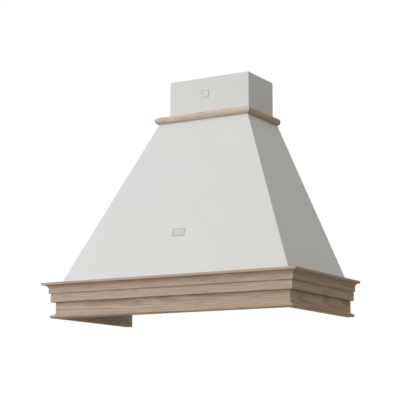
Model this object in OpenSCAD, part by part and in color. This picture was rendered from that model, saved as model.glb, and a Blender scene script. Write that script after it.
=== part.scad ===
// Wall-mounted kitchen range hood with a wooden frame, a painted steel canopy and a two-part chimney cover.
// X runs along the wall, Y into the wall and Z up.
// The origin is the middle of the wall screw holes, on the wall.
// Heights in this file count from the bottom edge of the wooden frame, and hung() moves them to the origin.

/* [Wooden frame] */
// Width across the lip of the cornice
frame_w = 900; // [820:10:1200]
// Depth from the wall to the lip of the cornice
frame_d = 461; // [451:1:560]
// Height of the frame
frame_h = 112; // [106:1:150]
// Thickness of the fascia board
board_t = 14; // [12:1:22]
// How far the foot stands out of the fascia board
foot_reach = 13.5; // [10:0.5:18]
// Height of the round nose of the foot
foot_nose_h = 10; // [5:0.5:12]
// How far the band stands out of the fascia board
band_reach = 12; // [8:0.5:16]
// Height of the band under the cove
band_h = 27.5; // [20:0.5:30]
// Step from the band out to the bottom of the cove
cove_step = 5; // [3:0.5:7]
// Straight height under the cove
cove_straight = 13.5; // [8:0.5:16]
// Radius of the cove
cove_r = 12.5; // [9:0.5:14]
// Flat underside of the lip
lip_soffit = 5.5; // [3:0.5:8]
// Thickness of the lip
lip_h = 7.5; // [5:0.5:9]

/* [Canopy and pan] */
// Thickness of the painted sheet steel
sheet_t = 1; // [0.8:0.1:1.2]
// Thickness of the back plate
back_t = 1.2; // [1:0.1:2]
// How far the canopy covers the tops of the side boards
side_lap = 3; // [2:0.5:6]
// How far the canopy covers the top of the front board
front_lap = 1; // [1:0.5:6]
// Height of the sloping canopy
canopy_h = 532; // [500:1:640]
// Width of the canopy's flat top beside the chimney
top_side = 17; // [16:0.5:40]
// Depth of the canopy's flat top in front of the chimney
top_front = 40; // [36:0.5:70]
// Width of the flange round the foot of the canopy
canopy_flange = 20; // [18:1:26]
// Height of the underside of the pan above the bottom edge
pan_h = 52; // [40:1:56]
// Free space between the pan and the wooden frame
pan_gap = 0.5; // [0.3:0.1:1]
// Width of the flange round the top of the pan
pan_flange = 15; // [12:1:18]

/* [Crown moulding] */
// Height of the crown moulding
crown_h = 23.5; // [18:0.5:32]
// How far the crown stands out over the top of the canopy
crown_reach = 12; // [6:0.5:16]

/* [Chimney cover] */
// Width of the lower cover
chimney_w = 296; // [286:1:300]
// Depth of the lower cover
chimney_d = 170; // [168:1:174]
// Height of the lower cover above the canopy
chimney_h = 148; // [140:1:400]
// Depth of the collar in the top of the canopy that holds the lower cover
collar_h = 20; // [16:1:30]
// Free space between the two covers
cover_gap = 1.5; // [1:0.1:2]
// Length of the upper cover
upper_h = 300; // [260:1:310]
// Height of the upper cover's top edge over the lower cover when it is pushed down
upper_proud = 2; // [1:1:10]
// Width of the rear flanges of both covers
cover_flange = 18; // [14:1:22]
// Number of vent slots in each side of the upper cover
vent_count = 7; // [3:1:8]
// Height of a vent slot
vent_h = 4; // [3:0.5:5]
// Distance from one vent slot to the next
vent_pitch = 11; // [8:1:14]
// Depth of a vent slot along the side
vent_d = 90; // [60:5:110]

/* [Wall fixing] */
// Distance between the wall screw holes, sideways
wall_hole_x = 340; // [240:10:360]
// Distance between the wall screw holes, upwards
wall_hole_z = 160; // [120:10:200]
// Diameter of a wall screw hole
wall_hole_dia = 8; // [6:0.5:10]
// Height of the middle of the wall screw holes above the bottom edge
hang_z = 300; // [260:5:320]

/* [Grease filters] */
// Width of the pan beside the filters, where the lamps sit
side_strip = 129.5; // [110:0.5:150]
// Depth of the pan in front of the filters, where the buttons sit
front_strip = 75.5; // [72:0.5:100]
// Thickness of a grease filter
filter_t = 9; // [8:0.5:10]
// Width of a filter's border
filter_border = 16; // [15:0.5:20]
// Free space round a filter
filter_gap = 1; // [0.8:0.1:2]
// Width of the bridge between the filters
filter_bridge = 14; // [10:1:24]
// Distance from the wall to the filter openings
filter_rear = 34; // [30:1:40]
// Thickness of the filter mesh
mesh_t = 3; // [2:0.5:4]
// Width of the strands of the filter mesh
strand_w = 4; // [3:0.5:5]
// Number of mesh gaps across a filter
mesh_nx = 11; // [8:1:12]
// Number of mesh gaps along a filter
mesh_ny = 13; // [10:1:14]
// Travel of the filter catch
catch_travel = 6; // [4:0.5:6]
// Width of the filter catch
catch_w = 20; // [16:1:26]
// Thickness of the filter catch
catch_t = 3; // [2.5:0.5:3.5]

/* [Lamps and buttons] */
// Distance from the side of the pan to the middle of a lamp
lamp_side = 65.5; // [55:0.5:75]
// Distance from the front of the pan to the middle of a lamp
lamp_front = 111.5; // [70:0.5:300]
// Diameter of the lamp barrel
lamp_dia = 60; // [50:1:64]
// Width of the lamp's rim
lamp_rim = 5; // [4:0.5:7]
// Depth of the lamp barrel
lamp_depth = 20; // [16:1:26]
// Distance from one push button to the next
button_pitch = 32; // [28:1:34]
// Diameter of a push button
button_dia = 16; // [12:1:18]
// Travel of a push button
button_travel = 3; // [2:0.5:3.5]
// Distance from the front of the pan to the middle of a button
button_front = 39.5; // [37:0.5:44]
// Height of the switch block
switch_h = 23; // [18:1:30]

/* [Blower] */
// Diameter of the impeller
impeller_dia = 190; // [176:1:196]
// Length of the impeller
impeller_w = 150; // [120:1:156]
// Number of blades in each half of the impeller
blade_count = 30; // [20:1:36]
// Thickness of a blade
blade_t = 1.2; // [1:0.1:1.6]
// Radial depth of a blade
blade_depth = 17; // [14:1:20]
// Inside width of the scroll housing
scroll_w = 168; // [162:1:172]
// Radius of the scroll at its tongue
scroll_r0 = 104; // [101:1:106]
// Radius of the scroll at its outlet
scroll_r1 = 160; // [156:1:162]
// Wall of the scroll housing
scroll_t = 1.5; // [1:0.1:2]
// Height of the outlet above the impeller's axle
outlet_h = 130; // [124:1:136]
// Height of the impeller's axle above the bottom edge
axle_z = 224; // [222:1:228]
// Diameter of the air inlets in the sides of the scroll
inlet_dia = 160; // [150:1:166]
// Diameter of the motor
motor_dia = 84; // [70:1:90]
// Length of the motor
motor_l = 82; // [76:1:100]
// Diameter of the motor's shaft
shaft_dia = 8; // [6:1:10]
// Outer diameter of the exhaust spigot
spigot_dia = 149; // [140:1:150]
// Wall of the spigot
spigot_t = 2.5; // [2:0.1:3]
// Length of the spigot that a duct slips over
spigot_h = 44; // [40:1:60]
// Height of the step from the square outlet to the round spigot
transition_h = 26; // [20:1:32]

/* [Hidden] */
$fn = 64;

// A cut goes this much past the face that it opens
over = 1;
// Pieces that move, or that could rub, stay this far apart
clear = 0.3;
// Free space round a screw in its hole
screw_clear = 0.1;
// Gap in a seam between two sheets of the canopy
seam = 0.1;
// Free space between a spinning or sliding pin and its bore
run_clear = 0.05;
// How far a screw goes past the last piece that it holds, and its hole past its tip
screw_end = 1;
// Facets of the large rounds in the air outlet
outlet_fn = 96;

// Plan of the wooden frame
cornice_reach = band_reach + cove_step + cove_r + lip_soffit;
cornice_h = band_h + cove_straight + cove_r + lip_h;
fascia_reach = board_t + foot_reach;
inner_w = frame_w - 2 * (cornice_reach + board_t);
inner_d = frame_d - cornice_reach - board_t;
board_w = inner_w + 2 * board_t;
board_d = inner_d + board_t;
foot_w = inner_w + 2 * fascia_reach;
foot_d = inner_d + fascia_reach;

// Plan and heights of the canopy and the pan
canopy_w = inner_w + 2 * side_lap;
canopy_d = inner_d + front_lap;
canopy_z = frame_h + canopy_h;
canopy_top_w = chimney_w + 2 * top_side;
canopy_top_d = chimney_d + top_front;
canopy_side_wall = level_t((canopy_w - canopy_top_w) / 2, canopy_h);
canopy_front_wall = level_t(canopy_d - canopy_top_d, canopy_h);
pan_w = inner_w - 2 * pan_gap;
pan_d = inner_d - pan_gap;
floor_z = pan_h + sheet_t;

// Plan of the chimney covers
collar_gap = clear;
collar_w = chimney_w + 2 * collar_gap;
collar_d = chimney_d + collar_gap;
chimney_z = canopy_z + chimney_h;
upper_w = chimney_w - 2 * (sheet_t + cover_gap);
upper_front = chimney_d - sheet_t - cover_gap;
upper_rear = sheet_t + cover_gap;
upper_z = chimney_z + upper_proud - upper_h;
crown_w = canopy_top_w + 2 * crown_reach;
crown_d = canopy_top_d + crown_reach;
crown_side_reach = (crown_w - chimney_w) / 2 - clear;
crown_front_reach = crown_d - chimney_d - clear;
duct_y = -(upper_front + upper_rear) / 2;

// Screws
screw_dia = 4;
screw_head_dia = 8;
screw_head_h = 2.4;
wood_screw_l = 12;
machine_screw_l = 6;

// Filters
filter_w = (pan_w - 2 * side_strip - filter_bridge) / 2 - 2 * filter_gap;
filter_d = pan_d - filter_rear - front_strip - 2 * filter_gap;
filter_x = filter_bridge / 2 + filter_gap + filter_w / 2;
filter_front = filter_rear + filter_d + 2 * filter_gap;
mesh_groove = 3;
mesh_play = 0.5;
mesh_w = filter_w - 2 * (filter_border - mesh_groove + mesh_play);
mesh_d = filter_d - 2 * (filter_border - mesh_groove + mesh_play);
filter_tab_w = 20;
filter_tab_l = 7;
filter_tab_t = 1.5;
catch_z = floor_z + clear;
catch_l = 7;
catch_lip_h = 6;
grip_w = 14;
grip_d = 3;
grip_drop = 3;
grip_in = 1.5;

// Blower
scroll_side_t = 1.2;
scroll_steps = 30;
tongue_a = 62;
tongue_y = scroll_r0 * cos(tongue_a);
axle_y = duct_y - (scroll_r1 + tongue_y) / 2;
outlet_z = axle_z + outlet_h;
side_x = scroll_w / 2 + scroll_side_t;
spigot_z = outlet_z + transition_h;
spigot_flange_h = 3;
spigot_flange_w = 5;
spigot_base_z = spigot_z + spigot_flange_h;
spigot_bore_dia = spigot_dia - 2 * spigot_t;
disc_t = 2;
ring_t = 3;
blade_a = 35;
motor_gap = 14;
shaft_boss_l = 28;
motor_x = -(shaft_boss_l / 2 + motor_gap);
shaft_in_motor = 30;
shaft_end = 2;
shaft_boss_dia = 28;
motor_bell_in = 7;
motor_bell_h = 8;
motor_slots = 12;
motor_slot_w = 3;
motor_slot_d = 3;
motor_slot_in = 15;
spider_r = inlet_dia / 2 + 12;
spider_angles = [90, 210, 330];
spider_arm_w = 12;
spider_pad_dia = 16;
spider_ring_w = 5;
spider_t = 3;
grommet_h = 6;
grommet_dia = 12;

// Damper flaps in the spigot
flap_z = spigot_base_z + 16;
flap_t = 1.2;
flap_gap = 1.5;
flap_r = spigot_bore_dia / 2 - flap_gap;
flap_edge = 4.2;
spindle_dia = 4;
spindle_in = 0.5;
knuckle_dia = 7;
knuckle_l = 18;
knuckle_x = [-50, 10];
seat_t = 1.5;
seat_w = 2;

// Electrical box, on the back plate beside the scroll
box_w = 56;
box_d = 64;
box_h = 86;
box_t = 2;
box_x = 104;
box_z = 270;
lid_rim_h = 4;
gland_bore_dia = 9;
gland_thread_dia = gland_bore_dia + 4;
gland_thread_l = 4;
gland_nut_dia = 22;
gland_nut_h = 6;
gland_dome_dia = 17;
gland_h = 16;
gland_x = box_x + box_w / 2;
gland_y = -back_t - box_d / 2;
terminal_w = 40;
terminal_d = 20;
terminal_h = 18;
terminal_lift = 10;
terminal_z = box_z + box_t + terminal_lift;
terminal_pitch = 12;
terminal_hole_dia = 5;
terminal_hole_l = 4;
capacitor_x = -136;
capacitor_dia = 36;
capacitor_h = 62;
capacitor_cap_dia = 14;
capacitor_cap_h = 4;
capacitor_off = 4;
capacitor_foot_w = 24;
capacitor_foot_h = 20;
capacitor_foot_z = 20;

// Leads: the motor's and the switches' run along the back plate, the lamps' run to the switches
lead_dia = 6;
lamp_lead_dia = 4;
lead_bend = 8;
lamp_lead_bend = 6;
lead_off = 12.8;
lead_y = -back_t - lead_off;
lead_well = 5;
lead_step = 16;
motor_lead_x = box_x + lead_step;
motor_lead_out = 18;
switch_lead_x = box_x + 2 * lead_step;
switch_lead_z = 190;
switch_lead_out = 14;
switch_lead_rise = 20;
lead_rest_z = floor_z + lead_dia / 2 + screw_clear;
lamp_lead_rise = 23;
lamp_lead_z = floor_z + lamp_lead_rise;

// Push buttons and the switches over them
button_y = pan_d - button_front;
button_places = [-2 : 2];
button_lip_h = 1.5;
button_lip_w = 1.6;
button_stay = 0.5;
button_proud = button_travel + button_stay;
switch_wall = 4;
switch_d = button_dia + 2 * switch_wall;
stem_dia = 6;
stem_l = 8;
switch_z = floor_z + clear + button_lip_h + button_travel + clear;
switch_foot = 8;
switch_w = 5 * button_pitch + 2 * switch_foot;

// Ledges of the back plate, top bracket of the upper cover, and the angles of the blower
rest_w = 36;
rest_d = 24;
rest_t = 1.5;
top_bracket_t = 1.5;
top_bracket_h = 22;
top_bracket_drop = 8;
top_hole_x = 70;
top_hole_dia = 6;
bracket_h = 90;
bracket_lap = 16;
bracket_rise = 60;
bracket_t = 1.5;
bracket_foot = 18;
bracket_d = -axle_y - scroll_r1 + bracket_lap - back_t;

// Lamps
lamp_x = pan_w / 2 - lamp_side;
lamp_y = pan_d - lamp_front;
lamp_wall = 1.5;
lamp_rim_t = 2;
lamp_ledge = 2.5;
lens_dia = lamp_dia - 2 * lamp_wall - 2 * clear;
lens_t = 2;
led_core_h = 8;
led_core_w = 5.2;
led_fins = 3;
led_fin_pitch = 6;
led_fin_t = 2;
led_fin_l = 32;
led_fin_h = 9;
led_z = pan_h + lens_t + screw_clear;

// Blank plates
canopy_badge_w = 44;
canopy_badge_h = 26;
canopy_badge_x = -1;
canopy_badge_z = 255;
chimney_badge_w = 26;
chimney_badge_h = 24;
chimney_badge_x = -14;
chimney_badge_rise = 96;
badge_t = 1.2;
badge_rim = 1.6;

// Width of a sheet measured level, when the sheet leans by run over rise
function level_t(run, rise) = sheet_t * sqrt(1 + pow(run / rise, 2));
// Half width and depth of the canopy's outside at height z
function canopy_half(z) = canopy_w / 2 + (canopy_top_w - canopy_w) / 2 * (z - frame_h) / canopy_h;
function canopy_deep(z) = canopy_d + (canopy_top_d - canopy_d) * (z - frame_h) / canopy_h;
// Radius of the scroll at angle a, which counts from the rear upwards
function scroll_r(a) = scroll_r0 + (scroll_r1 - scroll_r0) * (a - tongue_a) / (360 - tongue_a);

// Moves a piece from heights above the bottom edge to heights from the wall screw holes
module hung() translate([0, 0, -hang_z]) children();

// An outline in Y and Z, drawn out along X to both sides of the middle
module along_x(w) translate([-w / 2, 0, 0]) rotate([90, 0, 90]) linear_extrude(w) children();

// An outline in X and Z, drawn out from the wall towards the room
module along_y(d) rotate([90, 0, 0]) linear_extrude(d) children();

// Both sides of the hood
module both_sides() {
    children();
    mirror([1, 0, 0]) children();
}

// A slab between two heights
module slab(w, d, z0, z1) translate([-w / 2, -d, z0]) cube([w, d, z1 - z0]);

// A pan-head screw: its head sits under the origin and its shank rises along Z
module screw(l) {
    translate([0, 0, -screw_head_h]) cylinder(d = screw_head_dia, h = screw_head_h);
    translate([0, 0, -screw_head_h / 2]) cylinder(d = screw_dia, h = l + screw_head_h / 2);
}

// The hole that a screw passes through, as deep as l
module screw_hole(l) translate([0, 0, -over]) cylinder(d = screw_dia + 2 * screw_clear, h = l + over);

// Places for the screws from the pan's wall into the fascia boards, each facing outwards
module at_frame_screws() {
    for (x = [-pan_w / 3, 0, pan_w / 3])
        translate([x, -pan_d + sheet_t, (floor_z + frame_h) / 2]) rotate([90, 0, 0]) children();
    both_sides() for (y = [-pan_d / 4, -pan_d * 3 / 4])
        translate([pan_w / 2 - sheet_t, y, (floor_z + frame_h) / 2]) rotate([0, 90, 0]) children();
}

// Places for the screws from the canopy's top flange up into the crown
module at_crown_screws() {
    for (x = [-canopy_top_w / 3, canopy_top_w / 3])
        translate([x, -(canopy_top_d + collar_d + sheet_t) / 2, canopy_z - sheet_t]) children();
    side_x = (canopy_top_w / 2 + collar_w / 2 + sheet_t) / 2;
    both_sides() translate([side_x, -canopy_top_d / 2, canopy_z - sheet_t]) children();
}

// Places for the screws from the pan's flange up into the canopy's flange
module at_flange_screws() {
    for (x = [-pan_w / 4, pan_w / 4])
        translate([x, -pan_d + pan_flange / 2, frame_h - sheet_t]) children();
    both_sides() translate([pan_w / 2 - pan_flange / 2, -pan_d / 2, frame_h - sheet_t]) children();
}

// Places for the screws that hold the lower cover in the collar, each facing inwards
module at_collar_screws() {
    both_sides() translate([collar_w / 2 + sheet_t, -chimney_d / 2, canopy_z - collar_h / 2])
        rotate([0, -90, 0]) children();
}

// Places for the screws from the canopy's rear flanges into the back plate, each facing the wall
module at_rear_screws() {
    both_sides() for (z = [frame_h + canopy_h / 6, frame_h + canopy_h / 2])
        translate([canopy_half(z) - canopy_flange / 2, -back_t - sheet_t, z]) rotate([-90, 0, 0]) children();
}

// Section of the fascia board: outward from its inner face, and up
module fascia_outline() {
    cavetto = foot_reach - foot_nose_h / 2;
    difference() {
        union() {
            square([board_t, frame_h]);
            square([board_t + cavetto, foot_nose_h]);
            translate([board_t + cavetto, foot_nose_h / 2]) circle(d = foot_nose_h);
            translate([board_t, foot_nose_h]) square([cavetto, cavetto]);
        }
        translate([board_t + cavetto, foot_nose_h + cavetto]) circle(r = cavetto);
    }
}

// Section of the cornice: outward from the face of the fascia board, and up
module cornice_outline() {
    cove_x = band_reach + cove_step;
    cove_z = band_h + cove_straight;
    difference() {
        union() {
            square([band_reach, cornice_h]);
            translate([0, band_h]) square([cove_x + cove_r, cornice_h - band_h]);
            translate([0, cornice_h - lip_h]) square([cornice_reach, lip_h]);
        }
        translate([cove_x + cove_r, cove_z]) circle(r = cove_r);
        translate([cove_x, band_h - over]) square([cove_r + over, cove_straight + over]);
    }
}

// Plan of the front length of a moulding, mitred from its outer corners and as deep as front_reach
module front_mitre(outer_w, outer_d, reach, front_reach) linear_extrude(2 * canopy_z)
    polygon([[-outer_w / 2, -outer_d], [outer_w / 2, -outer_d], [outer_w / 2 - reach, -outer_d + reach],
        [outer_w / 2 - reach, -outer_d + front_reach], [-outer_w / 2 + reach, -outer_d + front_reach],
        [-outer_w / 2 + reach, -outer_d + reach]]);

// Plan of the right length of a moulding, mitred at the front
module side_mitre(outer_w, outer_d, reach) linear_extrude(2 * canopy_z)
    polygon([[outer_w / 2, -outer_d], [outer_w / 2, 0], [outer_w / 2 - reach, 0],
        [outer_w / 2 - reach, -outer_d + reach]]);

// A length of moulding across the front, with its inner face at depth d
module front_run(d, z) translate([0, -d, z]) along_x(frame_w) mirror([1, 0]) children();

// A length of moulding along the right side, with its inner face at half width w
module side_run(w, z) translate([w, 0, z]) along_y(frame_d) children();

module fascia_front() color("tan") hung() difference() {
    intersection() {
        front_run(inner_d, 0) fascia_outline();
        front_mitre(foot_w, foot_d, fascia_reach, fascia_reach + over);
    }
    at_frame_screws() screw_hole(wood_screw_l + screw_end);
}

module fascia_side() difference() {
    intersection() {
        side_run(inner_w / 2, 0) fascia_outline();
        side_mitre(foot_w, foot_d, fascia_reach);
    }
    at_frame_screws() screw_hole(wood_screw_l + screw_end);
}

module fascia_right() color("tan") hung() fascia_side();

module fascia_left() color("tan") hung() mirror([1, 0, 0]) fascia_side();

module cornice_front() color("tan") hung() intersection() {
    front_run(board_d, frame_h - cornice_h) cornice_outline();
    front_mitre(frame_w, frame_d, cornice_reach, cornice_reach + over);
}

module cornice_side() intersection() {
    side_run(board_w / 2, frame_h - cornice_h) cornice_outline();
    side_mitre(frame_w, frame_d, cornice_reach);
}

module cornice_right() color("tan") hung() cornice_side();

module cornice_left() color("tan") hung() mirror([1, 0, 0]) cornice_side();

// Section of the crown: a board with a round nose, outward from its inner face
module crown_outline(reach) {
    square([reach - crown_h / 2, crown_h]);
    translate([reach - crown_h / 2, crown_h / 2]) circle(d = crown_h);
}

module crown_front() color("tan") hung() difference() {
    intersection() {
        front_run(crown_d - crown_front_reach, canopy_z) crown_outline(crown_front_reach);
        front_mitre(crown_w, crown_d, crown_side_reach, crown_front_reach + over);
    }
    at_crown_screws() screw_hole(wood_screw_l + screw_end);
}

module crown_side() difference() {
    intersection() {
        side_run(crown_w / 2 - crown_side_reach, canopy_z) crown_outline(crown_side_reach);
        side_mitre(crown_w, crown_d, crown_side_reach);
    }
    at_crown_screws() screw_hole(wood_screw_l + screw_end);
}

module crown_right() color("tan") hung() crown_side();

module crown_left() color("tan") hung() mirror([1, 0, 0]) crown_side();

// The solid inside the canopy's slopes, from height z0 to z1, set in by a level wall
module canopy_solid(z0, z1, side_in, front_in) intersection() {
    along_y(canopy_d + over) polygon([[-canopy_half(z0) + side_in, z0], [canopy_half(z0) - side_in, z0],
        [canopy_half(z1) - side_in, z1], [-canopy_half(z1) + side_in, z1]]);
    along_x(canopy_w + over) polygon([[over, z0], [-canopy_deep(z0) + front_in, z0],
        [-canopy_deep(z1) + front_in, z1], [over, z1]]);
}

// The canopy: three sloping sheets, and the flanges and the top that are seamed to their insides
module canopy_shell() color("gainsboro") hung() difference() {
    union() {
        canopy_front_sheet();
        canopy_side_sheets();
        intersection() {
            canopy_solid(frame_h, canopy_z, canopy_side_wall + seam, canopy_front_wall + seam);
            union() {
                canopy_foot_flanges();
                canopy_rear_flanges();
                canopy_top();
            }
        }
    }
    slab(collar_w, collar_d, canopy_z - collar_h - over, canopy_z + over);
    plate_space();
    at_crown_screws() screw_hole(sheet_t + over);
    at_flange_screws() screw_hole(2 * sheet_t + over);
    at_collar_screws() screw_hole(sheet_t + over);
    at_rear_screws() screw_hole(sheet_t + over);
}

// The front sheet, as wide as the canopy
module canopy_front_sheet() difference() {
    canopy_solid(frame_h, canopy_z, 0, 0);
    canopy_solid(frame_h - over, canopy_z + over, -over, canopy_front_wall);
}

// The two side sheets, from the wall to the seam behind the front sheet
module canopy_side_sheets() difference() {
    canopy_solid(frame_h, canopy_z, 0, canopy_front_wall + seam);
    canopy_solid(frame_h - over, canopy_z + over, canopy_side_wall, -over);
}

// Three strips round the foot of the canopy, on top of the wooden frame and the pan
module canopy_foot_flanges() difference() {
    slab(canopy_w, canopy_d, frame_h, frame_h + sheet_t);
    slab(canopy_w - 2 * canopy_flange, canopy_d - canopy_flange, frame_h - over, frame_h + sheet_t + over);
    both_sides() translate([canopy_w / 2 - canopy_flange - over, -canopy_d + canopy_flange, frame_h - over])
        cube([canopy_flange + 2 * over, seam, sheet_t + 2 * over]);
}

// Two strips along the back plate, from the foot of the canopy to its collar
module canopy_rear_flanges() {
    z0 = frame_h + sheet_t + seam;
    z1 = canopy_z - collar_h - seam;
    both_sides() translate([0, -back_t, 0]) along_y(sheet_t)
        polygon([[canopy_half(z0) - canopy_flange, z0], [canopy_half(z0), z0], [canopy_half(z1), z1],
            [canopy_half(z1) - canopy_flange, z1]]);
}

// The canopy's flat top, and the collar under it for the chimney cover
module canopy_top() {
    slab(canopy_w, canopy_d, canopy_z - sheet_t, canopy_z);
    slab(collar_w + 2 * sheet_t, collar_d + sheet_t, canopy_z - collar_h, canopy_z);
}

// The plate on the wall that carries everything, with two ledges for the upper chimney cover
module back_plate() color("silver") hung() difference() {
    union() {
        along_y(back_t) polygon([[-pan_w / 2, pan_h], [pan_w / 2, pan_h], [pan_w / 2, frame_h],
            [canopy_w / 2, frame_h], [canopy_top_w / 2, canopy_z], [-canopy_top_w / 2, canopy_z],
            [-canopy_w / 2, frame_h], [-pan_w / 2, frame_h]]);
        both_sides() translate([upper_w / 2 - rest_w, -back_t - rest_d, upper_z - rest_t])
            cube([rest_w, back_t + rest_d, rest_t]);
    }
    for (x = [-wall_hole_x / 2, wall_hole_x / 2], z = [-wall_hole_z / 2, wall_hole_z / 2])
        translate([x, over, hang_z + z]) rotate([90, 0, 0])
            cylinder(d = wall_hole_dia, h = back_t + 2 * over);
    at_rear_screws() translate([0, 0, sheet_t]) screw_hole(back_t + over);
    at_foot_screws() translate([0, 0, bracket_t]) screw_hole(back_t + over);
}

// The space that the back plate takes
module plate_space() translate([0, over, 0]) slab(2 * canopy_w, back_t + over, 0, canopy_z);

// Opening for one filter, at the right
module filter_opening() translate([filter_bridge / 2, -filter_front, pan_h - over])
    cube([filter_w + 2 * filter_gap, filter_front - filter_rear, sheet_t + 2 * over]);

// The raised edge in front of the right filter, which its catch bears on
module filter_lip() translate([filter_bridge / 2, -filter_front - sheet_t, pan_h])
    cube([filter_w + 2 * filter_gap, sheet_t, catch_lip_h]);

// The floor of the tray that closes the canopy from below and holds the filters, lamps and buttons
module base_pan() color("gainsboro") hung() difference() {
    union() {
        slab(pan_w, pan_d, pan_h, floor_z);
        both_sides() filter_lip();
    }
    plate_space();
    both_sides() filter_opening();
    both_sides() translate([lamp_x, -lamp_y, pan_h - over])
        cylinder(d = lamp_dia + 2 * clear, h = sheet_t + 2 * over);
    for (i = button_places) translate([i * button_pitch, -button_y, pan_h - over])
        cylinder(d = button_dia + 2 * clear, h = sheet_t + 2 * over);
}

// The tray's four walls, folded up from its floor, with a slit at each corner
module pan_walls() color("gainsboro") hung() difference() {
    union() {
        slab(pan_w, pan_d, floor_z, frame_h - sheet_t);
        slab(pan_w, back_t + sheet_t, floor_z, frame_h);
    }
    translate([0, -back_t - sheet_t, 0])
        slab(pan_w - 2 * sheet_t, pan_d - back_t - 2 * sheet_t, floor_z - over, frame_h + over);
    plate_space();
    both_sides() for (y = [-back_t - sheet_t - clear, -pan_d + sheet_t])
        translate([pan_w / 2 - sheet_t, y, floor_z - over]) cube([sheet_t + over, clear, frame_h]);
    at_frame_screws() screw_hole(sheet_t + over);
}

// The strips folded inwards from the tops of the front wall and the side walls
module pan_flanges() color("gainsboro") hung() difference() {
    slab(pan_w, pan_d, frame_h - sheet_t, frame_h);
    translate([0, -back_t - sheet_t, 0])
        slab(pan_w - 2 * pan_flange, pan_d - back_t - sheet_t - pan_flange, frame_h - 2 * sheet_t,
            frame_h + over);
    translate([0, over, 0])
        slab(pan_w + 2 * over, back_t + sheet_t + clear + over, frame_h - 2 * sheet_t, frame_h + over);
    both_sides() translate([pan_w / 2 - pan_flange - over, -pan_d + pan_flange, frame_h - 2 * sheet_t])
        cube([pan_flange + 2 * over, clear, 3 * sheet_t]);
    at_flange_screws() screw_hole(sheet_t + over);
}

// A sheet channel that is open towards the wall, with two rear flanges
module cover(w, front, rear, z0, z1) difference() {
    translate([0, -rear, 0]) slab(w, front - rear, z0, z1);
    translate([0, -rear - sheet_t, 0])
        slab(w - 2 * sheet_t, front - rear - 2 * sheet_t, z0 - over, z1 + over);
    translate([0, over - rear, 0])
        slab(w - 2 * cover_flange, sheet_t + 2 * over, z0 - over, z1 + over);
}

module chimney_lower_cover() color("gainsboro") hung() difference() {
    cover(chimney_w, chimney_d, 0, canopy_z - collar_h, chimney_z);
    plate_space();
    at_collar_screws() translate([0, 0, sheet_t]) screw_hole(collar_gap + sheet_t + over);
}

module chimney_upper_cover() color("gainsboro") hung() difference() {
    cover(upper_w, upper_front, upper_rear, upper_z, upper_z + upper_h);
    for (i = [0 : vent_count - 1])
        translate([0, duct_y, upper_z + upper_h - 2 * vent_pitch - i * vent_pitch])
            cube([upper_w + 2 * over, vent_d, vent_h], center = true);
    at_bracket_screws() screw_hole(top_bracket_t + sheet_t + over);
}

// Places for the screws that hold the upper cover to its bracket, each facing the wall
module at_bracket_screws() both_sides()
    translate([upper_w / 2 - cover_flange / 2 - sheet_t, -upper_rear - sheet_t - top_bracket_t,
        upper_z + upper_h - top_bracket_drop - top_bracket_h / 2]) rotate([-90, 0, 0]) children();

// The bar that fixes the top of the upper cover to the wall
module chimney_top_bracket() color("silver") hung() difference() {
    z = upper_z + upper_h - top_bracket_drop - top_bracket_h;
    w = upper_w - 2 * sheet_t - 2 * clear;
    union() {
        translate([0, -upper_rear - sheet_t, 0]) slab(w, top_bracket_t, z, z + top_bracket_h);
        both_sides() translate([w / 2 - top_bracket_t, -upper_rear - sheet_t - rest_d, z])
            cube([top_bracket_t, rest_d, top_bracket_h]);
    }
    at_bracket_screws() screw_hole(top_bracket_t + over);
    both_sides() translate([top_hole_x, 0, z + top_bracket_h / 2]) rotate([90, 0, 0])
        cylinder(d = top_hole_dia, h = upper_rear + rest_d);
}

module bracket_screws() color("silver") hung() at_bracket_screws() screw(top_bracket_t + sheet_t);

module wood_screws() color("silver") hung() {
    at_frame_screws() screw(wood_screw_l);
    at_crown_screws() screw(wood_screw_l);
}

module machine_screws() color("silver") hung() {
    at_flange_screws() screw(machine_screw_l);
    at_collar_screws() screw(2 * sheet_t + collar_gap);
    at_rear_screws() screw(sheet_t + back_t);
    at_foot_screws() screw(bracket_t + back_t);
    at_scroll_screws() screw(bracket_t + scroll_side_t);
    at_grommets() translate([0, 0, -spider_t]) screw(spider_t + grommet_h + scroll_side_t + screw_end);
}

// Outline of the scroll in Y and Z about its axle, grown by t
module scroll_outline(t, top) {
    start_a = acos((tongue_y - t) / (scroll_r0 + t));
    polygon(concat(
        [for (i = [0 : scroll_steps]) let (a = start_a + (360 - start_a) * i / scroll_steps)
            [(scroll_r(a) + t) * cos(a), (scroll_r(a) + t) * sin(a)]],
        [[scroll_r1 + t, top], [tongue_y - t, top]]));
}

// Places a piece of the blower at its axle
module at_axle() translate([0, axle_y, axle_z]) children();

module scroll_wrap() color("silver") hung() at_axle() difference() {
    along_x(scroll_w) scroll_outline(scroll_t, outlet_h);
    along_x(scroll_w + 2 * over) scroll_outline(0, outlet_h + over);
}

// The left side of the scroll, a plate with a round air inlet
module scroll_side() difference() {
    translate([-side_x + scroll_side_t / 2, axle_y, axle_z]) difference() {
        along_x(scroll_side_t) scroll_outline(scroll_t, outlet_h);
        rotate([0, 90, 0]) cylinder(d = inlet_dia, h = 4 * scroll_side_t, center = true);
    }
    at_grommets() screw_hole(grommet_h + scroll_side_t + over);
    at_scroll_screws() screw_hole(bracket_t + scroll_side_t + over);
}

module scroll_side_left() color("silver") hung() scroll_side();

module scroll_side_right() color("silver") hung() mirror([1, 0, 0]) scroll_side();

// Three places round the inlet, each facing the right
module at_grommet_ring() for (a = spider_angles)
    rotate([a, 0, 0]) translate([0, spider_r, 0]) rotate([0, 90, 0]) children();

// Three places on the outer face of the left side of the scroll, past the grommets
module at_grommets() translate([-side_x - grommet_h, axle_y, axle_z]) at_grommet_ring() children();

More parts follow.
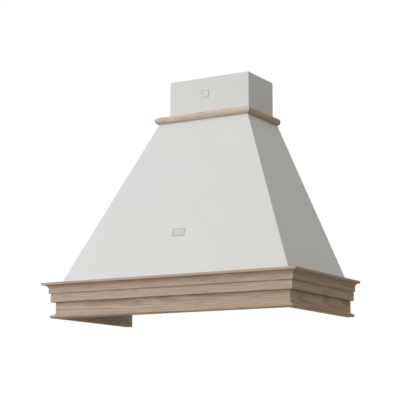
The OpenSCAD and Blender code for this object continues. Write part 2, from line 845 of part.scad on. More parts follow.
// Places for the screws from the blower's angles into the sides of the scroll, each facing inwards
module at_scroll_screws() both_sides() for (z = [-bracket_h / 4, bracket_h / 4])
    translate([side_x + bracket_t, axle_y + scroll_r1 - bracket_lap / 2, axle_z + bracket_rise + z])
        rotate([0, -90, 0]) children();

// Places for the screws from the blower's angles into the back plate, each facing the wall
module at_foot_screws() both_sides() for (z = [-bracket_h / 3, bracket_h / 3])
    translate([side_x + bracket_foot / 2, -back_t - bracket_t, axle_z + bracket_rise + z])
        rotate([-90, 0, 0]) children();

// Angles that carry the scroll on the back plate
module blower_brackets() color("silver") hung() both_sides() difference() {
    translate([side_x, -back_t - bracket_d, axle_z + bracket_rise - bracket_h / 2]) union() {
        cube([bracket_t, bracket_d, bracket_h]);
        translate([0, bracket_d - bracket_t, 0]) cube([bracket_foot, bracket_t, bracket_h]);
    }
    at_scroll_screws() screw_hole(bracket_t + over);
    at_foot_screws() screw_hole(bracket_t + over);
}

// One half of the impeller's blades, as a plan about its axle
module blade_plan() for (i = [0 : blade_count - 1])
    rotate(i * 360 / blade_count) translate([impeller_dia / 2 - blade_depth, 0]) rotate(blade_a)
        translate([0, -blade_t / 2]) square([blade_depth, blade_t]);

module at_impeller() hung() at_axle() rotate([0, 90, 0]) children();

module impeller_disc() color("lightgray") at_impeller() difference() {
    union() {
        cylinder(d = impeller_dia, h = disc_t, center = true);
        cylinder(d = shaft_boss_dia, h = shaft_boss_l, center = true);
    }
    cylinder(d = shaft_dia + run_clear, h = shaft_boss_l + 2 * over, center = true);
}

module impeller_rings() color("lightgray") at_impeller() for (s = [-1, 1])
    translate([0, 0, s * (impeller_w - ring_t) / 2]) difference() {
        cylinder(d = impeller_dia, h = ring_t, center = true);
        cylinder(d = impeller_dia - 2 * blade_depth, h = ring_t + 2 * over, center = true);
    }

// The blades run from the disc to the rings on both sides
module impeller_blades() color("lightgray") at_impeller() for (s = [0, 1])
    mirror([0, 0, s]) translate([0, 0, disc_t / 2])
        linear_extrude((impeller_w - disc_t) / 2 - ring_t) blade_plan();

module motor_shaft() color("silver") hung() at_axle() translate([motor_x - shaft_in_motor, 0, 0])
    rotate([0, 90, 0]) cylinder(d = shaft_dia, h = shaft_in_motor - motor_x + shaft_boss_l / 2 + shaft_end);

// The motor: a finned barrel between two end bells, on the left of the impeller's disc
module motor_body() color("dimgray") hung() at_axle() translate([motor_x - motor_l, 0, 0]) rotate([0, 90, 0])
    difference() {
        union() {
            cylinder(d = motor_dia - 2 * motor_bell_in, h = motor_l);
            translate([0, 0, motor_bell_h]) cylinder(d = motor_dia, h = motor_l - 2 * motor_bell_h);
        }
        for (i = [0 : motor_slots - 1]) rotate(i * 360 / motor_slots)
            translate([motor_dia / 2, 0, motor_l / 2])
                cube([2 * motor_slot_d, motor_slot_w, motor_l - 2 * motor_slot_in], center = true);
        translate([0, 0, motor_l - shaft_in_motor - clear])
            cylinder(d = shaft_dia + 2 * run_clear, h = shaft_in_motor + clear + over);
    }

// Three arms that hold the motor in the middle of the left inlet
module motor_bracket() color("silver") hung() translate([-side_x - grommet_h - spider_t, axle_y, axle_z])
    difference() {
        union() {
            rotate([0, 90, 0]) cylinder(d = motor_dia + 2 * spider_ring_w, h = spider_t);
            for (a = spider_angles) rotate([a, 0, 0]) translate([0, 0, -spider_arm_w / 2])
                cube([spider_t, spider_r, spider_arm_w]);
            at_grommet_ring() cylinder(d = spider_pad_dia, h = spider_t);
        }
        translate([-over, 0, 0]) rotate([0, 90, 0])
            cylinder(d = motor_dia + 2 * screw_clear, h = spider_t + 2 * over);
        at_grommet_ring() screw_hole(spider_t + over);
    }

module motor_grommets() color("black") hung() at_grommets() difference() {
    cylinder(d = grommet_dia, h = grommet_h);
    screw_hole(grommet_h + over);
}

// The step from the scroll's square outlet to the round spigot
module outlet_transition() color("darkslategray") hung() translate([0, duct_y, outlet_z]) {
    outlet_w = scroll_w + 2 * scroll_side_t;
    outlet_d = scroll_r1 - tongue_y + 2 * scroll_t;
    edge_h = 1;
    cut_past = 0.01;
    difference() {
        hull() {
            translate([-outlet_w / 2, -outlet_d / 2, 0]) cube([outlet_w, outlet_d, edge_h]);
            translate([0, 0, transition_h - edge_h]) cylinder(d = spigot_dia, h = edge_h);
        }
        hull() {
            translate([-scroll_w / 2, -outlet_d / 2 + scroll_t, -cut_past])
                cube([scroll_w, outlet_d - 2 * scroll_t, edge_h]);
            translate([0, 0, transition_h - edge_h + cut_past]) cylinder(d = spigot_bore_dia, h = edge_h);
        }
    }
}

// The round spigot that an exhaust duct slips over
module duct_spigot() color("darkslategray") hung() translate([0, duct_y, 0]) difference() {
    seat_z = flap_z - flap_t / 2 - clear;
    $fn = outlet_fn;
    translate([0, 0, spigot_z]) union() {
        cylinder(d = spigot_dia + 2 * spigot_flange_w, h = spigot_flange_h);
        cylinder(d = spigot_dia, h = spigot_flange_h + spigot_h);
    }
    translate([0, 0, spigot_z - over]) {
        cylinder(d = spigot_bore_dia - 2 * seat_w, h = spigot_flange_h + spigot_h + 2 * over);
        cylinder(d = spigot_bore_dia, h = seat_z - seat_t - spigot_z + over);
    }
    translate([0, 0, seat_z]) cylinder(d = spigot_bore_dia, h = spigot_h + over);
    translate([0, 0, flap_z]) rotate([0, 90, 0])
        cylinder(d = spindle_dia + 2 * run_clear, h = spigot_dia + 2 * over, center = true);
}

module flap_spindle() color("silver") hung() translate([0, duct_y, flap_z]) rotate([0, 90, 0])
    cylinder(d = spindle_dia, h = spigot_dia - 2 * spindle_in, center = true);

// One half of the damper, towards the wall, with its two knuckles on the spindle
module flap() difference() {
    union() {
        intersection() {
            translate([0, 0, -flap_t / 2]) cylinder(r = flap_r, h = flap_t, $fn = outlet_fn);
            translate([-flap_r, flap_edge, -flap_t]) cube([2 * flap_r, flap_r, 2 * flap_t]);
        }
        for (x = knuckle_x) {
            translate([x, 0, 0]) rotate([0, 90, 0]) cylinder(d = knuckle_dia, h = knuckle_l, center = true);
            translate([x - knuckle_l / 2, 0, -flap_t / 2]) cube([knuckle_l, flap_edge + over, flap_t]);
        }
    }
    rotate([0, 90, 0]) cylinder(d = spindle_dia + 4 * run_clear, h = 2 * flap_r, center = true);
}

module flap_rear() color("darkslategray") hung() translate([0, duct_y, flap_z]) flap();

module flap_front() color("darkslategray") hung() translate([0, duct_y, flap_z]) rotate(180) flap();

// The motor's capacitor, with the foot that fixes it to the back plate
module capacitor() color("whitesmoke") hung()
    translate([capacitor_x, -back_t - capacitor_dia / 2 - capacitor_off, box_z]) {
        cylinder(d = capacitor_dia, h = capacitor_h);
        cylinder(d = capacitor_cap_dia, h = capacitor_h + capacitor_cap_h);
        translate([-capacitor_foot_w / 2, 0, capacitor_foot_z])
            cube([capacitor_foot_w, capacitor_dia / 2 + capacitor_off, capacitor_foot_h]);
    }

module junction_box() color("dimgray") hung() difference() {
    translate([box_x, -back_t - box_d, box_z]) cube([box_w, box_d, box_h]);
    translate([box_x + box_t, -back_t - box_d - over, box_z + box_t])
        cube([box_w - 2 * box_t, box_d - box_t + over, box_h - 2 * box_t]);
    translate([gland_x, gland_y, box_z + box_h - box_t - over])
        cylinder(d = gland_thread_dia + 2 * screw_clear, h = box_t + 2 * over);
    for (x = [motor_lead_x, switch_lead_x]) translate([x, lead_y, box_z - over])
        cylinder(d = lead_dia + 2 * screw_clear, h = box_t + 2 * over);
}

// The block that joins the leads, on the rear wall of the junction box
module terminal_block() color("ivory") hung() difference() {
    terminal_front = -back_t - box_t - terminal_d;
    translate([gland_x - terminal_w / 2, terminal_front, terminal_z])
        cube([terminal_w, terminal_d, terminal_h]);
    for (x = [motor_lead_x, switch_lead_x]) translate([x, lead_y, terminal_z - over])
        cylinder(d = lead_dia + 2 * screw_clear, h = lead_well + over);
    for (i = [-1 : 1])
        translate([gland_x + i * terminal_pitch, terminal_front - over, terminal_z + terminal_h / 2])
            rotate([-90, 0, 0]) cylinder(d = terminal_hole_dia, h = terminal_hole_l + over);
}

module junction_box_lid() color("dimgray") hung() translate([box_x, -back_t - box_d, box_z]) {
    translate([0, -box_t, 0]) cube([box_w, box_t, box_h]);
    translate([box_t + clear, 0, box_t + clear]) difference() {
        cube([box_w - 2 * box_t - 2 * clear, lid_rim_h, box_h - 2 * box_t - 2 * clear]);
        translate([box_t, -over, box_t])
            cube([box_w - 4 * box_t - 2 * clear, lid_rim_h + 2 * over, box_h - 4 * box_t - 2 * clear]);
    }
}

// The gland for the mains cable, on top of the junction box
module cable_gland() color("dimgray") hung() translate([gland_x, gland_y, box_z + box_h]) difference() {
    union() {
        cylinder(d = gland_nut_dia, h = gland_nut_h, $fn = 6);
        cylinder(d = gland_dome_dia, h = gland_h);
        translate([0, 0, -box_t - gland_thread_l])
            cylinder(d = gland_thread_dia, h = box_t + gland_thread_l + over);
    }
    translate([0, 0, -box_t - gland_thread_l - over])
        cylinder(d = gland_bore_dia, h = box_t + gland_thread_l + gland_h + 2 * over);
}

// Push button at place i, counted from the middle one
module button(i) color("gray") hung() translate([i * button_pitch, -button_y, 0]) {
    translate([0, 0, pan_h - button_proud]) cylinder(d = button_dia, h = button_proud + sheet_t + clear);
    translate([0, 0, floor_z + clear]) cylinder(d = button_dia + 2 * button_lip_w, h = button_lip_h);
    translate([0, 0, floor_z]) cylinder(d = stem_dia, h = switch_z - floor_z + stem_l);
}

module button_off() button(-2);
module button_low() button(-1);
module button_medium() button(0);
module button_high() button(1);
module button_lamp() button(2);

// The switches over the buttons, standing on the pan
module switch_block() color("black") hung() translate([0, -button_y, 0]) difference() {
    union() {
        translate([-switch_w / 2, -switch_d / 2, switch_z]) cube([switch_w, switch_d, switch_h]);
        both_sides() translate([switch_w / 2 - switch_foot, -switch_d / 2, floor_z])
            cube([switch_foot, switch_d, switch_z - floor_z + over]);
    }
    for (i = button_places) translate([i * button_pitch, 0, switch_z - over])
        cylinder(d = stem_dia + 2 * screw_clear, h = stem_l + button_travel + clear + over);
}

// The right-hand filter's frame, with a pocket for its catch
module filter_frame() translate([filter_x, -filter_rear - filter_gap, pan_h]) difference() {
    union() {
        translate([-filter_w / 2, -filter_d, 0]) cube([filter_w, filter_d, filter_t]);
        for (s = [-1, 1]) translate([s * filter_w / 3 - filter_tab_w / 2, -over, sheet_t + clear])
            cube([filter_tab_w, over + filter_gap + filter_tab_l, filter_tab_t]);
    }
    translate([-filter_w / 2 + filter_border, -filter_d + filter_border, -over])
        cube([filter_w - 2 * filter_border, filter_d - 2 * filter_border, filter_t + 2 * over]);
    translate([0, -filter_d / 2, filter_t / 2])
        cube([mesh_w + 2 * mesh_play, mesh_d + 2 * mesh_play, mesh_t + clear], center = true);
    translate([-catch_w / 2 - clear, -filter_d - over, sheet_t])
        cube([catch_w + 2 * clear, over + catch_l + catch_travel - filter_gap + 2 * clear,
            catch_t + 2 * clear]);
    translate([-grip_w / 2 - clear, -filter_d + grip_in - clear, -over])
        cube([grip_w + 2 * clear, grip_d + catch_travel + 2 * clear, sheet_t + 2 * over]);
}

// The filter's mesh, as a flat net of diamonds
module filter_mesh()
    translate([filter_x, -filter_rear - filter_gap - filter_d / 2, pan_h + (filter_t - mesh_t) / 2])
        linear_extrude(mesh_t) difference() {
            cell_w = (mesh_w - 2 * strand_w) / mesh_nx;
            cell_d = (mesh_d - 2 * strand_w) / mesh_ny;
            square([mesh_w, mesh_d], center = true);
            for (i = [0 : mesh_nx - 1], j = [0 : mesh_ny - 1])
                translate([(i - (mesh_nx - 1) / 2) * cell_w, (j - (mesh_ny - 1) / 2) * cell_d])
                    polygon([[-(cell_w - strand_w) / 2, 0], [0, -(cell_d - strand_w) / 2],
                        [(cell_w - strand_w) / 2, 0], [0, (cell_d - strand_w) / 2]]);
        }

// The sliding catch at the filter's front edge, with its finger grip
module filter_catch() translate([filter_x, -filter_rear - filter_gap - filter_d, 0]) {
    translate([-catch_w / 2, clear - filter_gap, catch_z]) cube([catch_w, catch_l, catch_t]);
    translate([-grip_w / 2, grip_in, pan_h - grip_drop])
        cube([grip_w, grip_d, catch_z - pan_h + grip_drop + over]);
}

module filter_frame_right() color("silver") hung() filter_frame();
module filter_frame_left() color("silver") hung() mirror([1, 0, 0]) filter_frame();
module filter_mesh_right() color("lightgray") hung() filter_mesh();
module filter_mesh_left() color("lightgray") hung() mirror([1, 0, 0]) filter_mesh();
module filter_catch_right() color("gray") hung() filter_catch();
module filter_catch_left() color("gray") hung() mirror([1, 0, 0]) filter_catch();

// The lamp's barrel and rim, pushed up through the pan at the right
module lamp_housing() translate([lamp_x, -lamp_y, 0]) difference() {
    union() {
        translate([0, 0, pan_h - lamp_rim_t]) cylinder(d = lamp_dia + 2 * lamp_rim, h = lamp_rim_t);
        translate([0, 0, pan_h - lamp_rim_t]) cylinder(d = lamp_dia, h = lamp_rim_t + lamp_depth);
    }
    translate([0, 0, pan_h - lamp_rim_t - over])
        cylinder(d = lamp_dia - 2 * lamp_wall - 2 * lamp_ledge, h = lamp_rim_t + lamp_depth);
    translate([0, 0, pan_h]) cylinder(d = lamp_dia - 2 * lamp_wall, h = lamp_depth + over);
}

module lamp_lens() translate([lamp_x, -lamp_y, pan_h]) cylinder(d = lens_dia, h = lens_t);

// The light source over the lens, with its cooling fins on both sides of its lead
module led_module() translate([lamp_x, -lamp_y, led_z]) {
    difference() {
        cylinder(d = lens_dia, h = led_core_h);
        translate([0, 0, -over]) cylinder(d = lens_dia - 2 * led_core_w, h = led_core_h / 2 + over);
    }
    both_sides() for (i = [1 : led_fins])
        translate([i * led_fin_pitch - led_fin_t / 2, -led_fin_l / 2, led_core_h - over])
            cube([led_fin_t, led_fin_l, led_fin_h]);
}

module lamp_housing_right() color("silver") hung() lamp_housing();
module lamp_housing_left() color("silver") hung() mirror([1, 0, 0]) lamp_housing();
module lamp_lenses() color("white") hung() for (s = [0, 1]) mirror([s, 0, 0]) lamp_lens();
module led_modules() color("silver") hung() for (s = [0, 1]) mirror([s, 0, 0]) led_module();

// A blank plate with a raised edge, standing on its long side and facing the room
module badge(w, h) rotate([90, 0, 0]) difference() {
    translate([-w / 2, -h / 2, 0]) cube([w, h, badge_t]);
    translate([-w / 2 + badge_rim, -h / 2 + badge_rim, badge_t / 2])
        cube([w - 2 * badge_rim, h - 2 * badge_rim, badge_t]);
}

module canopy_badge() color("silver") hung()
    translate([canopy_badge_x, -canopy_deep(canopy_badge_z), canopy_badge_z])
        rotate([-atan((canopy_d - canopy_top_d) / canopy_h), 0, 0]) badge(canopy_badge_w, canopy_badge_h);

module chimney_badge() color("silver") hung()
    translate([chimney_badge_x, -chimney_d, canopy_z + chimney_badge_rise])
        badge(chimney_badge_w, chimney_badge_h);

// A round lead along a route of level and upright runs, with bends of one radius
module lead(route, dia, bend) {
    last = len(route) - 1;
    for (i = [0 : last - 1]) {
        d = unit(route[i + 1] - route[i]);
        a = route[i] + d * (i == 0 ? 0 : bend);
        b = route[i + 1] - d * (i == last - 1 ? 0 : bend);
        translate(a) rotate([0, acos(d[2]), atan2(d[1], d[0])]) cylinder(d = dia, h = norm(b - a));
    }
    for (i = [1 : last - 1]) {
        d1 = unit(route[i] - route[i - 1]);
        d2 = unit(route[i + 1] - route[i]);
        n = cross(d1, d2);
        c = route[i] - bend * d1 + bend * d2;
        multmatrix([for (k = [0 : 2]) [-d2[k], d1[k], n[k], c[k]]])
            rotate_extrude(angle = 90) translate([bend, 0]) circle(d = dia);
    }
}

function unit(v) = v / norm(v);

module switch_lead() lead([
    [0, -button_y + switch_d / 2, lead_rest_z + switch_lead_rise],
    [0, -button_y + switch_d / 2 + switch_lead_out, lead_rest_z + switch_lead_rise],
    [0, -button_y + switch_d / 2 + switch_lead_out, lead_rest_z],
    [0, lead_y, lead_rest_z],
    [0, lead_y, switch_lead_z],
    [switch_lead_x, lead_y, switch_lead_z],
    [switch_lead_x, lead_y, terminal_z + lead_well]], lead_dia, lead_bend);

module motor_lead() lead([
    [motor_x - motor_l, axle_y, axle_z],
    [motor_x - motor_l - motor_lead_out, axle_y, axle_z],
    [motor_x - motor_l - motor_lead_out, lead_y, axle_z],
    [motor_lead_x, lead_y, axle_z],
    [motor_lead_x, lead_y, terminal_z + lead_well]], lead_dia, lead_bend);

module lamp_lead() lead([
    [lamp_x, -lamp_y, led_z + led_core_h],
    [lamp_x, -lamp_y, lamp_lead_z],
    [lamp_x, -button_y, lamp_lead_z],
    [switch_w / 2, -button_y, lamp_lead_z]], lamp_lead_dia, lamp_lead_bend);

// The leads from the junction box to the switches and to the motor, and from the switches to the lamps
module leads() color("black") hung() {
    switch_lead();
    motor_lead();
    both_sides() lamp_lead();
}

fascia_front();
fascia_left();
fascia_right();
cornice_front();
cornice_left();
cornice_right();
crown_front();
crown_left();
crown_right();
canopy_shell();
back_plate();
base_pan();
pan_walls();
pan_flanges();
chimney_lower_cover();
chimney_upper_cover();
chimney_top_bracket();
bracket_screws();
wood_screws();
machine_screws();
scroll_wrap();
scroll_side_left();
scroll_side_right();
blower_brackets();
impeller_disc();
impeller_rings();
impeller_blades();
motor_shaft();
motor_body();
motor_bracket();
motor_grommets();
outlet_transition();
duct_spigot();
flap_spindle();
flap_front();
flap_rear();
capacitor();
junction_box();
junction_box_lid();
cable_gland();
terminal_block();
switch_block();
button_off();
button_low();
button_medium();
button_high();
button_lamp();
filter_frame_left();
filter_frame_right();
filter_mesh_left();
filter_mesh_right();
filter_catch_left();
filter_catch_right();
lamp_housing_left();
lamp_housing_right();
lamp_lenses();
led_modules();
canopy_badge();
chimney_badge();
leads();
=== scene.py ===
"""Range hood with a pale oak frame, dressed for a picture.

The steel canopy and chimney are powder coated, the wooden frame, cornice and crown are limed oak, and
the blower, filters, lamps and controls sit inside. Every size is in metres, in the frame of the model:
x to the right, y into the wall, z up, with the origin in the middle of the wall screw holes.
"""

import logging
import math
from collections.abc import Callable, Iterable
from dataclasses import dataclass, field
from enum import Enum

import bmesh
import bpy
from mathutils import Matrix, Vector


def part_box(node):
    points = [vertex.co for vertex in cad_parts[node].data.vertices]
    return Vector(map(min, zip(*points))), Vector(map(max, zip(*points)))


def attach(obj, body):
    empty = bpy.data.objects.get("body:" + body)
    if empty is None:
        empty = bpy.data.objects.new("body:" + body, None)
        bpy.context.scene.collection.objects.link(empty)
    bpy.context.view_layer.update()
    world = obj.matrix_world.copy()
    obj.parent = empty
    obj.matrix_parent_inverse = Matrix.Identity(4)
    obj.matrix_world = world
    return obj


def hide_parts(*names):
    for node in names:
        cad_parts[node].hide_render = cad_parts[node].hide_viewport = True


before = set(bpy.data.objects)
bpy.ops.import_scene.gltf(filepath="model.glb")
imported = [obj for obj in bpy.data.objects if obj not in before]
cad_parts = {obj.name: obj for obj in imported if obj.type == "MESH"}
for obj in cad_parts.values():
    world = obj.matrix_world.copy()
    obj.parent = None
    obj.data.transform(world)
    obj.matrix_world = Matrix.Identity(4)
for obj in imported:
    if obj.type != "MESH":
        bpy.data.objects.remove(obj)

LOG = logging.getLogger("range_hood")
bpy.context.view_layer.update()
MM = 0.001
Triple = tuple[float, float, float]
Tones = tuple[str, str]
Links = dict[str | int, object]
Sizes = dict[str, object]
Node = bpy.types.Node
Socket = bpy.types.NodeSocket
Tree = bpy.types.NodeTree
EdgeTest = Callable[[bmesh.types.BMEdge], bool]
# The sRGB curve: a straight foot up to the knee, and a power above it.
SRGB_KNEE, SRGB_FOOT, SRGB_OFFSET, SRGB_POWER = 0.04045, 12.92, 0.055, 2.4
# Families of node types, in the order in which a type is looked for.
FAMILIES = ("ShaderNode", "GeometryNode", "FunctionNode", "Node")
# What follows NodeSocket in the type of a tree's input, by the kind of its value.
SOCKETS = {float: "Float", int: "Int", tuple: "Vector", bpy.types.Material: "Material"}


def linear(code: str) -> tuple[float, float, float, float]:
    """Turn a written colour into the linear one that a shader takes.

    Args:
        code: sRGB colour as #RRGGBB.

    Returns:
        Linear red, green, blue and an alpha of one.
    """
    channels = [int(code[i:i + 2], 16) / 255 for i in (1, 3, 5)]
    bent = [c / SRGB_FOOT if c <= SRGB_KNEE else ((c + SRGB_OFFSET) / (1 + SRGB_OFFSET)) ** SRGB_POWER
            for c in channels]
    return bent[0], bent[1], bent[2], 1.0


@dataclass(frozen=True)
class Wiring:
    """A node tree that is being wired. A value in a call is a number, a tuple, a socket or a node."""

    tree: Tree

    def node(self, kind: str, links: Links | None = None, **settings: object) -> Node:
        """Add a node with its settings, its values and its links.

        Args:
            kind: Blender's name of the node type without its family.
            links: For each input, by name or number, a value, a socket, a node, or a list of nodes.
            **settings: Properties of the node itself.

        Returns:
            The new node.
        """
        known = next(family + kind for family in FAMILIES if hasattr(bpy.types, family + kind))
        node = self.tree.nodes.new(known)
        for name, value in settings.items():
            setattr(node, name, value)
        for key, value in (links or {}).items():
            for one in value if isinstance(value, list) else [value]:
                if isinstance(one, Node):
                    one = one.outputs[0]
                if isinstance(one, Socket):
                    self.tree.links.new(one, node.inputs[key])
                else:
                    node.inputs[key].default_value = one
        return node

    def calc(self, operation: str, *terms: object) -> Node:
        """Calculate with numbers."""
        return self.node("Math", dict(enumerate(terms)), operation=operation)

    def times(self, first: object, second: object) -> Node:
        """Multiply two numbers."""
        return self.calc("MULTIPLY", first, second)

    def warp(self, operation: str, *terms: object) -> Node:
        """Calculate with vectors."""
        return self.node("VectorMath", dict(enumerate(terms)), operation=operation)

    def vector(self, x: object = 0.0, y: object = 0.0, z: object = 0.0) -> Node:
        """Join three numbers into a vector."""
        return self.node("CombineXYZ", {0: x, 1: y, 2: z})

    def place(self) -> Socket:
        """Give the place in the piece, in metres."""
        return self.node("TexCoord").outputs["Object"]

    def stretched(self, place: object, scale: Triple) -> Node:
        """Count a place in cells, of which each axis has its own number to the metre."""
        return self.node("Mapping", {"Vector": place, "Scale": scale})

    def noise(self, place: object, scale: float = 1.0, detail: float = 2.0, rough: float = 0.5) -> Node:
        """Draw cloudy noise."""
        return self.node("TexNoise", {
            "Vector": place, "Scale": scale, "Detail": detail, "Roughness": rough})

    def cells(self, place: object, scale: float = 1.0) -> Node:
        """Draw cells round scattered points: the distance from the point, and a random colour."""
        return self.node("TexVoronoi", {"Vector": place, "Scale": scale})

    def spread(self, value: object, low: float = 0.0, high: float = 1.0, start: float = 0.0,
               end: float = 1.0, course: str = "LINEAR") -> Node:
        """Map a number that runs from start to end to one from low to high, on a named course."""
        return self.node("MapRange", {
            "Value": value, "From Min": start, "From Max": end, "To Min": low, "To Max": high},
            interpolation_type=course)

    def mix(self, share: object, *colours: str | Socket) -> Socket:
        """Mix two colours by the share of the second."""
        first, second = (linear(colour) if isinstance(colour, str) else colour for colour in colours)
        return self.node("Mix", {0: share, 6: first, 7: second}, data_type="RGBA").outputs[2]

    def surface(self, colour: object, gloss: object, more: Links) -> Node:
        """End with a shader of a colour, a roughness and whatever more it has."""
        return self.node("BsdfPrincipled", {"Base Color": colour, "Roughness": gloss, **more})

    def bump(self, height: object, strength: float, depth: float) -> Node:
        """Raise a fine relief."""
        return self.node("Bump", {"Height": height, "Strength": strength, "Distance": depth})

    def moved(self, form: Node, **how: object) -> Node:
        """Move a form by Translation, Rotation and Scale."""
        return self.node("Transform", {"Geometry": form, **how})

    def shifted(self, form: Node, offset: Node) -> Node:
        """Shift each point of a form by its own offset."""
        return self.node("SetPosition", {"Geometry": form, "Offset": offset})

    def joined(self, *forms: Node) -> Node:
        """Join forms into one."""
        return self.node("JoinGeometry", {"Geometry": list(forms)})

    def copies(self, points: object, form: Node, **how: object) -> Node:
        """Set a copy of a form on each point, by Rotation and Scale."""
        return self.node("InstanceOnPoints", {"Points": points, "Instance": form, **how})


def emptied(owner: bpy.types.Material | bpy.types.World) -> Wiring:
    """Start the nodes of a material or world from nothing."""
    owner.use_nodes = True
    owner.node_tree.nodes.clear()
    return Wiring(owner.node_tree)


def linked(name: str, data: bpy.types.ID) -> bpy.types.Object:
    """Put a new object with its data into the scene."""
    made = bpy.data.objects.new(name, data)
    bpy.context.scene.collection.objects.link(made)
    return made


@dataclass(frozen=True)
class Finish:
    """A surface: what it is made of and how it was made. Each kind wires its own shader."""

    name: str

    def shade(self, wire: Wiring) -> Node:
        """Wire the surface.

        Args:
            wire: Wiring of the material's tree.

        Returns:
            Its last shader node.
        """
        raise NotImplementedError

    def material(self) -> bpy.types.Material:
        """Give the material of this finish, made on first use.

        Returns:
            The material with its nodes.
        """
        found = bpy.data.materials.get(self.name)
        if found is None:
            found = bpy.data.materials.new(self.name)
            wire = emptied(found)
            wire.node("OutputMaterial", {"Surface": self.shade(wire)})
        return found


class Grain(Enum):
    """The way that the fibres of a wooden length run, as the turn that lays them along x."""

    ALONG_X = 0.0
    ALONG_Y = -math.pi / 2


@dataclass(frozen=True)
class Spots:
    """Soft long spots in wood, one in some cells of a stretched grid.

    The grid has its cells to the metre along the grain and across it. A spot fades between two distances
    from its middle, in cells. Rare is the share of the cells without one, and depth how dark it is.
    """

    grid: Triple
    fade: tuple[float, float]
    rare: float
    depth: float

    def wired(self, wire: Wiring, run: Node) -> Node:
        """Wire the spots.

        Args:
            wire: Wiring of the tree that takes them.
            run: Node that gives the place in the plank.

        Returns:
            The node that is the depth in a spot and nought outside.
        """
        cells = wire.cells(wire.stretched(run, self.grid))
        near = wire.spread(cells, 1.0, 0.0, *self.fade)
        draw = wire.node("SeparateColor", {"Color": cells.outputs["Color"]})
        few = wire.calc("GREATER_THAN", draw, self.rare)
        return wire.times(wire.times(near, few), self.depth)


@dataclass(frozen=True)
class LimedOak(Finish):
    """European oak, planed, sanded and limed with a pale open-pored stain.

    To the eye: long matt bands where the saw cut the year rings at a slant, short darker pore strokes
    along the grain, a few pinkish knots, and no gloss to speak of. Each grid has its cells to the metre
    along the grain and across it.
    """

    grain: Grain
    plank: Triple
    pale: str
    dark: str
    ring_share: float = 0.55
    knot: str = "#94725F"
    ring: float = 4.2 * MM
    # Crests of a ring wave of scale one in 2 pi metres.
    ring_crests: float = 20
    drift_grid: Triple = (2.2, 14, 14)
    drift: Triple = (0, 0.020, 0.020)
    heart_slant: Triple = (0, 0.035, 0.022)
    # Fibre strokes 2 to 3 mm high and a hand long: real ones are half as high and would not show.
    fibre_grid: Triple = (9, 330, 330)
    fibre_share: float = 0.60
    pore_grid: Triple = (60, 1500, 1500)
    pore_share: float = 0.35
    knots: Spots = Spots((9, 36, 36), (0.06, 0.26), 0.86, 0.5)
    flecks: Spots = Spots((24, 130, 130), (0.10, 0.45), 0.72, 0.38)

    def shade(self, wire: Wiring) -> Node:
        """Wire year rings round a slanted heart, fibre strokes, pores and knots."""
        wood = wire.node("Mapping", {
            "Vector": wire.place(), "Rotation": (0, 0, self.grain.value), "Location": self.plank})
        drift = wire.noise(wire.stretched(wood, self.drift_grid))
        swing = wire.warp("SUBTRACT", drift.outputs["Color"], (0.5, 0.5, 0.5))
        bent = wire.warp("MULTIPLY_ADD", swing, self.drift, wood)
        heart = wire.node("Mapping", {"Vector": bent, "Rotation": self.heart_slant})
        rings = wire.node("TexWave", {
            "Vector": heart, "Scale": 2 * math.pi / (self.ring_crests * self.ring), "Distortion": 0.6,
            "Detail": 1.0, "Detail Scale": 0.4}, wave_type="RINGS", rings_direction="X")
        late = wire.spread(rings.outputs["Fac"], start=0.30, course="SMOOTHSTEP")
        fibre = wire.noise(wire.stretched(bent, self.fibre_grid), detail=3.0, rough=0.6)
        stroke = wire.spread(fibre, start=0.36, end=0.70)
        pores = wire.noise(wire.stretched(wood, self.pore_grid), detail=1.0)
        pore = wire.spread(pores, start=0.58, end=0.72)
        marks = wire.calc("MAXIMUM", self.knots.wired(wire, bent), self.flecks.wired(wire, bent))
        banded = wire.mix(wire.times(late, self.ring_share), self.pale, self.dark)
        streaked = wire.mix(wire.times(stroke, self.fibre_share), banded, self.dark)
        pored = wire.mix(wire.times(pore, self.pore_share), streaked, self.knot)
        knotted = wire.mix(marks, pored, self.knot)
        gloss = wire.spread(fibre, low=0.56, high=0.74)
        relief = wire.bump(wire.calc("SUBTRACT", fibre, pore), strength=0.35, depth=0.25 * MM)
        return wire.surface(knotted, gloss, {"Normal": relief, "Specular IOR Level": 0.2})


@dataclass(frozen=True)
class PowderCoat(Finish):
    """Steel sheet with a baked polyester powder coat.

    To the eye: an even pale grey-white with a satin gloss that a faint orange peel breaks up.
    """

    light: str
    shadow: str
    # Peel cells are twice as wide as the real ones, which would not show.
    peel: float = 2.5 * MM

    def shade(self, wire: Wiring) -> Node:
        """Wire an almost even colour over a fine orange peel."""
        here = wire.place()
        cloud = wire.noise(here, scale=6.0)
        peel = wire.noise(here, 1 / self.peel, detail=1.0)
        gloss = wire.spread(cloud, low=0.50, high=0.58)
        return wire.surface(wire.mix(cloud, self.light, self.shadow), gloss, {
            "Normal": wire.bump(peel, strength=0.12, depth=0.1 * MM), "Specular IOR Level": 0.25})


@dataclass(frozen=True)
class HotDipZinc(Finish):
    """Steel sheet, hot-dip galvanised.

    To the eye: dull grey metal in frost-like spangles, each with its own tone and gloss.
    """

    spangle: float = 11 * MM
    dull: str = "#A6ABAD"
    bright: str = "#C6CACB"

    def shade(self, wire: Wiring) -> Node:
        """Wire spangles with a tone and a gloss each."""
        here = wire.place()
        cells = wire.cells(here, 1 / self.spangle)
        draw = wire.node("SeparateColor", {"Color": cells.outputs["Color"]})
        grit = wire.noise(here, scale=700.0)
        gloss = wire.spread(draw.outputs[1], low=0.34, high=0.52)
        return wire.surface(wire.mix(draw, self.dull, self.bright), gloss, {
            "Normal": wire.bump(grit, strength=0.1, depth=0.1 * MM), "Metallic": 1.0})


